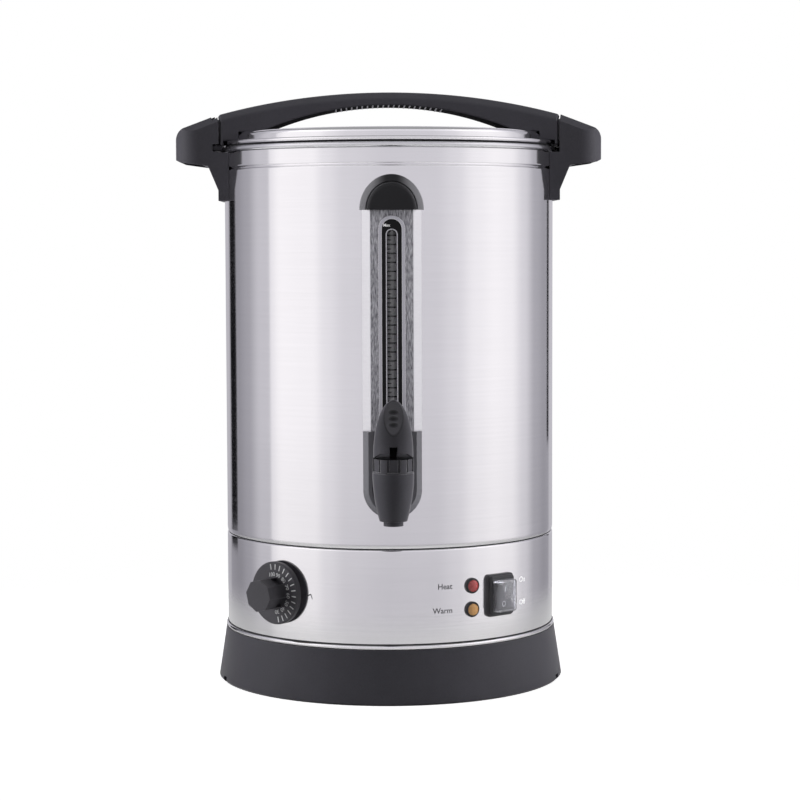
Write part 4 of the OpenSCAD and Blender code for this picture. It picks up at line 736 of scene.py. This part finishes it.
def make_cap_black():
    """Black moulded dome with a flange, found by its distance from the cap's axis. The flange is painted
    grey towards its sides, as the light that falls on it from the sides.
    """
    material, tree = start_material("cap_black")
    skin = grained(tree)
    split = put(tree, "SeparateXYZ", Vector=put(tree, "TexCoord").outputs["Object"]).outputs
    up = sum_of(tree, "DIVIDE", sum_of(tree, "SUBTRACT", split["Z"], cap_z * MM), cap_tall)
    spot = put(tree, "CombineXYZ", X=split["X"], Y=up).outputs[0]
    far = put(tree, "VectorMath", {"operation": "LENGTH"}, i0=spot).outputs["Value"]
    # The flange is painted grey away from its top, as the light that falls on it from the sides.
    aside = sum_of(tree, "ABSOLUTE", split["X"], 0.0)
    side = put(tree, "MapRange", {"interpolation_type": "SMOOTHSTEP"}, Value=aside, From_Min=flange_light_from * MM,
               From_Max=flange_light_full * MM).outputs[0]
    flange = sum_of(tree, "MULTIPLY", sum_of(tree, "GREATER_THAN", far, flange_r * MM), side)
    dome = blend_of(tree, skin["Shade"], (0.018, 0.018, 0.02), (0.026, 0.026, 0.029))
    base = blend_of(tree, flange, dome, (0.36, 0.355, 0.38))
    gloss = sum_of(tree, "ADD", skin["Gloss"], 0.36)
    return surfaced(material, base, gloss, skin["Normal"], Specular_IOR_Level=0.25)


cap = new_piece("gauge_cap", *half_dome(), make_cap_black(), "urn", 28.0)
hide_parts("sight_cap")
printed("word_max", [flat_words("Max", max_h, max_bold)],
        on_plane(facing(0, max_z, strip_face) @ Matrix.Translation((max_x * MM, 0, 0)), max_lift),
        ink_glowing, "urn")

# Tap: charcoal mouldings. An escutcheon covers the joint with the shell, the spout carries a ribbed
# bonnet, and a lever on a cross pin lifts the valve stem against a spring.
tap_y, lever_z, bonnet_shade_z = -167.0, 183.95, 182.4
lever_w, lever_h, lever_front, lever_back, tip_t, lever_lean = 14.05, 40.6, 14.05, 12.0, 3.5, 18.5
foot_half, foot_rise, foot_drop, foot_edge = 9.5, 2.4, -1.0, 14.3
slot_half, slot_h, lever_wall = 2.7, 7.4, 1.2
pad_r, pad_deep, pad_z, pad_lean = 76.0, 1.6, 28.2, 10.5
dimple_z, dimple_half, dimple_deep, outline_shade_width = (23.0, 27.6, 32.1), (3.6, 1.85), 0.7, 0.22
lean_power, tip_power, outline_shade_share = 1.3, 12, 0.8
tap_grey = moulded("tap_grey", (0.065, 0.0635, 0.074), 0.36, (0.3, 0.295, 0.32), 1600.0, 0.08, 0.0005, 0.7,
                   Specular_IOR_Level=0.2, Sheen_Weight=0.08, Sheen_Roughness=0.4)
# The bonnet's top, above the given height, is painted black as the shade in the gap under the lever.
bonnet_grey = moulded("bonnet_grey", (0.075, 0.0735, 0.084), 0.34, (0.5, 0.495, 0.52), 1600.0, 0.08, 0.0005,
                      0.7, bonnet_shade_z, Specular_IOR_Level=0.2)
plate_grey = moulded("plate_grey", (0.2, 0.197, 0.218), 0.4, (0.22, 0.217, 0.235), 1600.0, 0.08, 0.0006,
                     Specular_IOR_Level=0.25)
# The stem and its pin are painted near black, as the shade inside the lever's slot and hollow.
slot_shade_black = moulded("stem_shade_black", (0.008, 0.008, 0.009), 0.7, (0.012, 0.012, 0.013), 1500.0,
                     Specular_IOR_Level=0.1)
dress(tap_grey, "tap_body")
dress(bonnet_grey, "tap_bonnet")
dress(plate_grey, "tap_escutcheon")
dress(screw_steel, "tap_nut")
dress(slot_shade_black, "tap_stem", "tap_pin")
spring_r, wire_r, spring_low, spring_high, spring_turns, squeezed = 4.5, 0.55, 155.75, 165.4, 4, 0.5


def wound_spring(rings=24, sides=10):
    """Return spring: a round wire whose middle line goes round the stem and climbs by a steady pitch.
    """
    turn = np.linspace(0, 2 * np.pi * spring_turns, rings * spring_turns + 1)[:, None]
    side = np.linspace(0, 2 * np.pi, sides, endpoint=False)
    r = spring_r + wire_r * np.cos(side)
    z = spring_low + (spring_high - spring_low) * turn / turn[-1] + wire_r * np.sin(side)
    points = np.stack([r * np.cos(turn), tap_y + r * np.sin(turn), z], -1)
    return points * MM, rod_faces(len(turn), sides)


spring = new_piece("return_spring", *wound_spring(), screw_steel, "urn", 60.0)
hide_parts("tap_spring")
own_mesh(spring)


def lever_front_at(s):
    """The lever's middle line and its depth in front, at a share s of its height."""
    middle = -lever_lean * np.maximum(s, 0) ** lean_power
    return middle, (lever_front * (1 - s) + tip_t * s) * np.sqrt(np.maximum(1 - s**tip_power, 0))


def lever_form(low_rows=9, high_rows=90, slot_columns=7, side_columns=28):
    """Pointed lever: half an ellipse in front view, a lens in plan, leaning forward towards its tip.

    At a share s of the height, the half-width is the foot's times the root of one less s squared, the
    depth runs from the foot's to the tip's and closes at the end, and the middle moves forward by
    s to the power 1.3. The thumb pad is the back of a large cylinder where that lies behind the front,
    with three lens-shaped dimples. The last two values mark where the dimples and the pad's outline are
    painted dark as the shade in them, and the pad, which is painted paler. The foot is cut to a shallow
    roof, and its slot's faces are left out.
    """
    low = np.linspace(0, 1, low_rows)[:, None]
    high = np.sin(np.radians(np.linspace(math.degrees(math.asin(slot_h / lever_h)), 90, high_rows)))[1:, None]
    rough = np.concatenate([low * slot_h / lever_h, high])
    edge = np.arcsin(np.minimum(slot_half / lever_w, 0.28) / np.sqrt(np.maximum(1 - rough**2, 0.4)))
    mid = np.linspace(-1, 1, slot_columns)
    out = np.linspace(0, 1, side_columns)[1:]
    turn = np.concatenate([edge * mid, edge + (np.pi / 2 - edge) * out], 1)
    turn = np.concatenate([turn, np.pi - turn[:, slot_columns:][:, -2::-1], np.pi + edge * mid,
                           np.pi + edge + (np.pi / 2 - edge) * out,
                           2 * np.pi - edge - (np.pi / 2 - edge) * out[-2::-1]], 1)
    cut = np.interp(np.abs(lever_w * np.sin(turn)), [foot_half, foot_edge], [foot_rise, foot_drop])
    z = np.where(rough * lever_h < slot_h, cut + (slot_h - cut) * rough * lever_h / slot_h, rough * lever_h)
    s = np.minimum(z / lever_h, 1)
    middle, depth = lever_front_at(s)
    behind = (lever_back * (1 - s) + tip_t * s) * np.sqrt(np.maximum(1 - s**tip_power, 0))
    x = lever_w * np.sqrt(np.maximum(1 - s**2, 0)) * np.sin(turn)
    y = middle - np.where(np.cos(turn) > 0, depth, behind) * np.cos(turn)
    pad_middle, pad_front = lever_front_at(np.array(pad_z / lever_h))
    lean = math.radians(pad_lean)
    pad_y = pad_middle - pad_front + pad_deep - pad_r * math.cos(lean)
    pad = pad_y + np.sqrt(pad_r**2 - (z - pad_z + pad_r * math.sin(lean)) ** 2)
    line = np.maximum(1 - np.abs(pad - y) / outline_shade_width, 0) * (np.cos(turn) > 0)
    flat = ((pad > y) & (np.cos(turn) > 0)).astype(np.float32)
    y = np.where(np.cos(turn) > 0, np.maximum(y, np.minimum(pad, middle)), y)
    hollow = sum(np.maximum(1 - (x / dimple_half[0]) ** 2 - ((z - spot) / dimple_half[1]) ** 2, 0)
                 for spot in dimple_z) * (np.cos(turn) > 0)
    y = y + dimple_deep * np.sqrt(hollow)
    rows, columns = z.shape
    faces = np.array(grid_faces(rows, columns, False, True)).reshape(rows - 1, columns, 4)[..., ::-1]
    keep = np.ones((rows - 1, columns), bool)
    keep[:low_rows - 1, :slot_columns - 1] = False
    back = slot_columns + 2 * (side_columns - 1) - 1
    keep[:low_rows - 1, back:back + slot_columns - 1] = False
    points = np.stack([x, tap_y + y, lever_z + z], -1) * MM
    return points, faces[keep].tolist(), np.maximum(np.sqrt(hollow), outline_shade_share * line), flat


points, faces, hollow, flat = lever_form()
# Lever finish: edges painted paler as a highlight, the pad painted paler, and the dimples and the pad's
# outline painted near black as the shade in them.
lever_grey, tree = start_material("lever_grey")
skin = grained(tree)
drift = blend_of(tree, skin["Shade"], (0.058, 0.0565, 0.066), (0.074, 0.072, 0.084))
pad = put(tree, "Attribute", {"attribute_name": "pad"}).outputs["Fac"]
drift = blend_of(tree, pad, drift, (0.16, 0.157, 0.175))
dimple_shade = put(tree, "Attribute", {"attribute_name": "hollow"}).outputs["Fac"]
base = blend_of(tree, dimple_shade, blend_of(tree, skin["Edge"], drift, (0.2, 0.197, 0.215)), (0.02, 0.02, 0.022))
surfaced(lever_grey, base, sum_of(tree, "ADD", skin["Gloss"], 0.38), skin["Normal"], Specular_IOR_Level=0.25,
         Sheen_Weight=0.06, Sheen_Roughness=0.4)
lever_marks = {"hollow": hollow, "pad": flat}
lever = new_piece("lever_shell", points, faces, lever_grey, "tap_lever", 38.0, lever_marks)
# The lever's inner wall and rim take the near black, painted shade inside the hollow lever.
lever.data.materials.append(slot_shade_black)
wall = lever.modifiers.new("wall", "SOLIDIFY")
wall.thickness, wall.offset = lever_wall * MM, -1
wall.material_offset = wall.material_offset_rim = 1
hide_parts("tap_lever")

# Side handles: charcoal mouldings that clasp the rim, each with a finger pocket underneath.
# Two screws through the shell hold each one.
dress(charcoal, "side_handle_left", "side_handle_right")

# Lid: one pressed stainless plate with a raised step and a rolled edge, and a ring that locates it
# in the tank. Four screws from below hold its arched handle.
lid_z, lid_top, lid_r, lid_roll, lid_step_r, lid_corner, lid_root = 405.2, 415.2, 127.0, 1.5, 117.2, 4.0, 1.2
ring_r, ring_h = 117.0, 6.0
lid = turned("lid_sheet", [
    (0, lid_top - sheet_t),
    (lid_step_r - lid_corner, lid_top - sheet_t),
    arc((lid_step_r - lid_corner, lid_top - lid_corner), lid_corner - sheet_t, 90, 0, 10),
    (lid_step_r - sheet_t, lid_z),
    (ring_r - sheet_t, lid_z),
    (ring_r - sheet_t, lid_z - ring_h),
    (ring_r, lid_z - ring_h),
    (ring_r, lid_z),
    arc((lid_r - lid_roll, lid_z + lid_roll), lid_roll, -90, 150, 24),
    (lid_step_r + lid_root, lid_z + sheet_t),
    arc((lid_step_r + lid_root, lid_z + sheet_t + lid_root), lid_root, -90, -180, 8),
    arc((lid_step_r - lid_corner, lid_top - lid_corner), lid_corner, 0, 90, 14),
    (0, lid_top),
], polished, "lid")
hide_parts("lid_plate")
dress(shadow_and_seal_black, "lid_seal")

# Lid handle: a charcoal moulding that arches across the lid, waisted in the middle, with a soft
# chamfer along its upper edges and locking lugs under its ends. Fine grip ribs cross its underside,
# which is painted near black as shade.
joint_r, end_low, clear_r, clear_z = 131.0, 405.1, 128.8, 408.5
arch_top, arch_drop, arch_t, arch_under_r, square_share = 445.4, 18.4, 9.7, 240.0, 0.95
mid_half, end_half, chamfer, soft_r, end_round = 21.0, 35.0, 5.0, 3.0, 1.7
bend_from, bend_over, foot_soft, lid_gap = 80.0, 25.0, 1.0, 0.05
rib_pitch, rib_count, rib_r, rib_inset, rib_sunk = 4.0, 21, 0.6, 1.6, 0.2
lug_low, lug_in, lug_out, lug_from, lug_to, lug_soft, lug_sunk = 401.5, 128.6, 135.5, 8.35, 13.45, 0.6, 0.1


def lid_handle_form(stations=240):
    """Loft of chamfered sections along the arch, whose ends are bent to the round joint with the handles.

    The path's distance p from the axis runs from one joint to the other. A point of a section at the
    half-width y lies at x with x squared equal to p squared less a share of y squared; the share grows
    smoothly from none to all between two distances. The top falls with the square and fourth power of x,
    and the underside is an arc, or the lid, its flange or the joint's foot, whichever is higher. Close
    to its ends the section draws in along a quarter circle.
    """
    steps = np.array([lid_step_r + 0.1, clear_r])
    half = np.sort(np.concatenate([
        np.linspace(0, joint_r - end_round, stations // 2),
        steps - 0.005,
        steps + 0.005,
        joint_r - end_round * (1 - np.cos(np.linspace(0, np.pi / 2, 8)[:-1])),
    ]))
    p = np.concatenate([-half[:0:-1], half])[:, None]
    left = np.maximum(end_round - (joint_r - np.abs(p)), 0)
    inset = end_round - np.sqrt(np.maximum(end_round**2 - left**2, 0))
    w = mid_half + (end_half - mid_half) * (p / joint_r) ** 2 - inset
    share = np.clip((np.abs(p) - bend_from) / bend_over, 0, 1)
    share = share**2 * (3 - 2 * share)

    def along(y):
        return np.sign(p) * np.sqrt(np.maximum(p**2 - share * y**2, 0))

    eighth = np.radians(np.linspace(0, 45, 6))
    reach = soft_r * math.tan(math.radians(22.5))
    in_low, up_low = soft_r * (1 - np.cos(eighth)), -chamfer - reach + soft_r * np.sin(eighth)
    in_top, up_top = chamfer + reach - soft_r * np.sin(eighth[::-1]), soft_r * (np.cos(eighth[::-1]) - 1)
    inward, fall = np.concatenate([in_low, in_top]), np.concatenate([up_low, up_top])
    y = np.concatenate([w - inward, inward[::-1] - w], 1)
    x = along(y)
    v = x / joint_r
    top = arch_top - arch_drop * (square_share * v**2 + (1 - square_share) * v**4) - inset
    top = top + np.concatenate([fall, fall[::-1]])
    foot_y = (w - foot_soft) * np.array([-1.0, -0.5, 0.0, 0.5, 1.0])
    foot_x = along(foot_y)
    rest = np.where(np.abs(p) > clear_r, end_low, np.where(np.abs(p) > steps[0], clear_z, lid_top + lid_gap))
    hollow = arch_top - arch_t - arch_under_r + np.sqrt(arch_under_r**2 - foot_x**2)
    foot = np.maximum(hollow, rest)
    wall_y = np.concatenate([w, -w], 1)
    wall_z = np.concatenate([foot[:, -1:], foot[:, :1]], 1) + foot_soft
    wall_x = along(wall_y)
    ring = [np.concatenate([a, b[:, :1], c, b[:, 1:]], 1)
            for a, b, c in ((foot_x, wall_x, x), (foot_y, wall_y, y), (foot, wall_z, top))]
    points = np.stack(ring, -1)
    ends = points[[0, -1]].mean(1, keepdims=True) * [1, 0, 1] * np.ones((1, points.shape[1], 1))
    points = np.concatenate([ends[:1], points, ends[1:]])
    return points * MM, grid_faces(len(points), points.shape[1], False, True)


arch = new_piece("lid_handle_arch", *lid_handle_form(), charcoal, "lid", 32.0)
# Faces that point down are painted near black, as the shade under the arch.
arch.data.materials.append(moulded("arch_underside_shade", (0.006, 0.006, 0.007), 0.9, (0.008, 0.008, 0.009), 900.0,
                                   Specular_IOR_Level=0.05))
down = np.zeros(len(arch.data.polygons) * 3)
arch.data.polygons.foreach_get("normal", down)
arch.data.polygons.foreach_set("material_index", (down[2::3] < -0.8).astype(int))
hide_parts("lid_handle")


def grip_rib(x):
    """A half-round rib with rounded ends across the arch's underside, its axis along Y."""
    end = mid_half + (end_half - mid_half) * (x / joint_r) ** 2 - rib_inset
    z = arch_top - arch_t - arch_under_r + math.sqrt(arch_under_r**2 - x**2) + rib_sunk
    turn = np.linspace(0, 2 * np.pi, 13)[:-1]
    cap = np.radians(np.linspace(-90, 90, 10))[:, None]
    y = rib_r * np.sin(cap) + np.where(cap > 0, end - rib_r, rib_r - end)
    r = rib_r * np.cos(cap)
    points = np.stack(np.broadcast_arrays(x + r * np.cos(turn), y, z + r * np.sin(turn)), -1)
    return points.reshape(-1, 3), grid_faces(10, 12, False, True)


# The ribs are painted pale grey, as glints on the shaded underside of the arch.
rib_glint_grey = moulded("rib_glint_grey", (0.5, 0.5, 0.52), 0.4, (0.6, 0.6, 0.62), 1500.0)
printed("grip_ribs", [grip_rib(rib_pitch * step) for step in np.arange(rib_count) - (rib_count - 1) / 2],
        lambda points: points * MM, rib_glint_grey, "lid")


def locking_lug(turn, steps=9):
    """A block with soft edges, carried round the axis over the lug's own angle, and closed at its ends."""
    top = end_low + lug_sunk
    r = np.array([lug_in, lug_out - lug_soft, lug_out, lug_out, lug_out - lug_soft, lug_in])
    z = np.array([lug_low, lug_low, lug_low + lug_soft, end_low - lug_soft, top, top])
    angle = np.radians(turn + np.linspace(lug_from, lug_to, steps))[:, None]
    points = np.stack([r * np.cos(angle), r * np.sin(angle), np.broadcast_to(z, (steps, len(z)))], -1)
    return points.reshape(-1, 3), rod_faces(steps, len(z))


printed("lid_lugs", [locking_lug(0), locking_lug(180)], lambda points: points * MM, charcoal, "lid")

# Camera: at the photograph's angle, a little left of the tap and looking slightly down.
# Its lens and its place were fitted to the urn's outline in the photograph.
eye_spot, eye_turn, eye_down, eye_roll = (-0.02505, -1.7242, 0.3354), -1.1, 4.12, -0.2
scene = bpy.context.scene
eye = bpy.data.cameras.new("camera")
eye.lens, eye.sensor_width = 101.04, 36.0
camera = bpy.data.objects.new("camera", eye)
scene.collection.objects.link(camera)
camera.matrix_world = (Matrix.Translation(eye_spot) @ Matrix.Rotation(math.radians(eye_turn), 4, "Z")
                       @ Matrix.Rotation(math.radians(90 - eye_down), 4, "X")
                       @ Matrix.Rotation(math.radians(eye_roll), 4, "Z"))
scene.camera = camera

# Studio: a white world, a pale floor that keeps the shadow, two tall soft lamps at the sides and one
# above, and a light tent round the set, with dark flags at its back, that only polished surfaces see.
scene.view_settings.view_transform = "Standard"
world = bpy.data.worlds.new("studio")
scene.world = world
world.use_nodes = True
world.node_tree.nodes.clear()


def in_view(tree):
    """One for a ray from the camera, or one that comes to it by a reflection or through glass."""
    path = put(tree, "LightPath").outputs
    mirrored = sum_of(tree, "MAXIMUM", path["Is Glossy Ray"], path["Is Transmission Ray"])
    return sum_of(tree, "MAXIMUM", path["Is Camera Ray"], mirrored)


tree = world.node_tree
dim = put(tree, "Background", Strength=0.08).outputs[0]
white = put(tree, "Background", Color=(1, 1, 1, 1), Strength=1.0).outputs[0]
mixed = put(tree, "MixShader", i0=in_view(tree), i1=dim, i2=white).outputs[0]
tree.links.new(mixed, put(tree, "OutputWorld").inputs["Surface"])


def soft_lamp(name, az, z, away, wide, tall, power, aim_z=0.22):
    """A rectangular lamp at an angle from the front, turned to face the urn."""
    lamp = bpy.data.lights.new(name, "AREA")
    lamp.shape, lamp.size, lamp.size_y, lamp.energy = "RECTANGLE", wide, tall, power
    holder = bpy.data.objects.new(name, lamp)
    a = math.radians(az)
    spot = Vector((away * math.sin(a), -away * math.cos(a), z))
    turn = (Vector((0, 0, aim_z)) - spot).to_track_quat("-Z", "Y").to_matrix().to_4x4()
    scene.collection.objects.link(holder)
    holder.matrix_world = Matrix.Translation(spot) @ turn
    holder.visible_glossy = False


soft_lamp("lamp_left", -88, 0.6, 1.7, 0.9, 1.8, 32)
soft_lamp("lamp_right", 88, 0.6, 1.7, 0.9, 1.8, 32)
soft_lamp("lamp_top", 0, 2.0, 0.2, 1.4, 1.4, 7)


def stage_piece(name, spots, faces, material):
    """Puts a surface into the set, as a thing that isn't part of the urn."""
    mesh = bpy.data.meshes.new(name)
    mesh.from_pydata(spots.reshape(-1, 3).tolist(), [], faces)
    mesh.materials.append(material)
    piece = bpy.data.objects.new(name, mesh)
    scene.collection.objects.link(piece)
    return piece


floor_r, floor_lift = 0.6, 0.7
floor_mat, tree = start_material("pale_floor")
place = put(tree, "TexCoord").outputs["Object"]
middle = put(tree, "VectorMath", {"operation": "LENGTH"}, i0=place).outputs["Value"]
fade = put(tree, "MapRange", {"interpolation_type": "SMOOTHSTEP"}, Value=middle, From_Min=0.4 * floor_r,
           From_Max=0.95 * floor_r, To_Min=0.0, To_Max=1.0).outputs[0]
cloud = put(tree, "TexNoise", Vector=place, Scale=6.0, Detail=3.0).outputs[0]
matt = put(tree, "BsdfDiffuse", Color=blend_of(tree, cloud, (0.8, 0.8, 0.8), (0.84, 0.84, 0.84))).outputs[0]
path = put(tree, "LightPath").outputs
direct = sum_of(tree, "MAXIMUM", path["Is Camera Ray"], path["Is Transmission Ray"])
lift = put(tree, "Emission", Color=(1, 1, 1, 1), Strength=sum_of(tree, "MULTIPLY", direct, floor_lift))
lit = put(tree, "AddShader", i0=matt, i1=lift.outputs[0]).outputs[0]
clear = put(tree, "BsdfTransparent").outputs[0]
show(tree, put(tree, "MixShader", i0=fade, i1=lit, i2=clear))
rings, spokes = np.linspace(0.001, floor_r, 24)[:, None], np.linspace(0, 2 * np.pi, 97)[:-1]
spots = np.stack([rings * np.cos(spokes), rings * np.sin(spokes), np.zeros((24, 96))], -1)
stage_piece("floor", spots, grid_faces(24, 96, False, True) + [list(range(96))], floor_mat)

tent_r, tent_low, tent_high, tent_strength, flag_r = 2.6, -1.4, 3.4, 1.3, 2.55
left_tones = [(0, 0.64), (30, 0.70), (44, 0.82), (54, 0.97), (80, 1.0), (90, 0.84), (100, 0.58), (115, 0.38),
              (130, 0.3), (148, 0.34), (153, 0.5)]
right_tones = [(30, 0.65), (45, 0.74), (60, 0.91), (76, 0.98), (90, 0.94), (105, 0.7), (120, 0.42),
               (136, 0.34), (146, 0.36), (151, 0.55)]
height_tones = [(-1.4, 0.5), (-0.9, 0.58), (-0.35, 0.88), (0.1, 1.0), (1.1, 1.0), (2.0, 1.3)]


def toned(tree, share, stops):
    """A colour ramp through the given places and colours."""
    ramp = put(tree, "ValToRGB", Fac=share)
    ramp.color_ramp.interpolation = "EASE"
    while len(ramp.color_ramp.elements) < len(stops):
        ramp.color_ramp.elements.new(0.5)
    for element, (spot, colour) in zip(ramp.color_ramp.elements, sorted(stops)):
        element.position, element.color = spot, (*colour, 1)
    return ramp.outputs[0]


glow, tree = start_material("tent_glow")
place = put(tree, "TexCoord").outputs["Object"]
around = put(tree, "TexGradient", {"gradient_type": "RADIAL"}, Vector=place).outputs["Fac"]
by_side = toned(tree, around, [
    ((0.25 + side * az / 360) % 1.0, (tone, 0.975 * tone, tone * (1.12 - 0.12 * tone)))
    for side, tones in ((-1, left_tones), (1, right_tones)) for az, tone in tones])
share = put(tree, "MapRange", Value=put(tree, "SeparateXYZ", Vector=place).outputs["Z"], From_Min=tent_low,
            From_Max=tent_high).outputs[0]
by_height = toned(tree, share, [((z - tent_low) / (tent_high - tent_low), [tone / tent_strength] * 3)
                                for z, tone in height_tones])
both = put(tree, "Mix", {"data_type": "RGBA", "blend_type": "MULTIPLY"}, i0=1.0, i6=by_side, i7=by_height)
show(tree, put(tree, "Emission", Color=both.outputs[2], Strength=tent_strength))
spokes = np.linspace(0, 2 * np.pi, 129)[:-1]
levels = np.array([tent_low, tent_high])[:, None]
spots = np.stack(np.broadcast_arrays(tent_r * np.cos(spokes), tent_r * np.sin(spokes), levels), -1)
tent = stage_piece("light_tent", spots, grid_faces(2, 128, False, True), glow)


def glow_card(name, deep, pale, scale):
    """A card that glows from deep to pale with a broad cloud."""
    material, tree = start_material(name)
    cloud = put(tree, "TexNoise", Vector=put(tree, "TexCoord").outputs["Object"], Scale=scale).outputs[0]
    show(tree, put(tree, "Emission", Color=blend_of(tree, cloud, deep, pale), Strength=1.0))
    return material


shade = glow_card("tent_roof", (0.3, 0.3, 0.31), (0.4, 0.4, 0.41), 1.0)
roof = stage_piece("tent_roof", spots[1], [list(range(128))], shade)
card = glow_card("flag_black", (0.004, 0.004, 0.005), (0.008, 0.008, 0.009), 2.0)
flags = []
for name, start, end, low in (("flag_left", -134.0, -147.5, -0.22), ("flag_right", 142.5, 147.5, -0.05)):
    turn = np.radians(np.linspace(start, end, 9))
    height = np.array([low, tent_high])[:, None]
    spots = np.stack(np.broadcast_arrays(flag_r * np.sin(turn), -flag_r * np.cos(turn), height), -1)
    flags.append(stage_piece(name, spots, grid_faces(2, 9, False, False), card))
for piece in (tent, roof, *flags):
    piece.visible_camera = piece.visible_diffuse = piece.visible_shadow = piece.visible_transmission = False
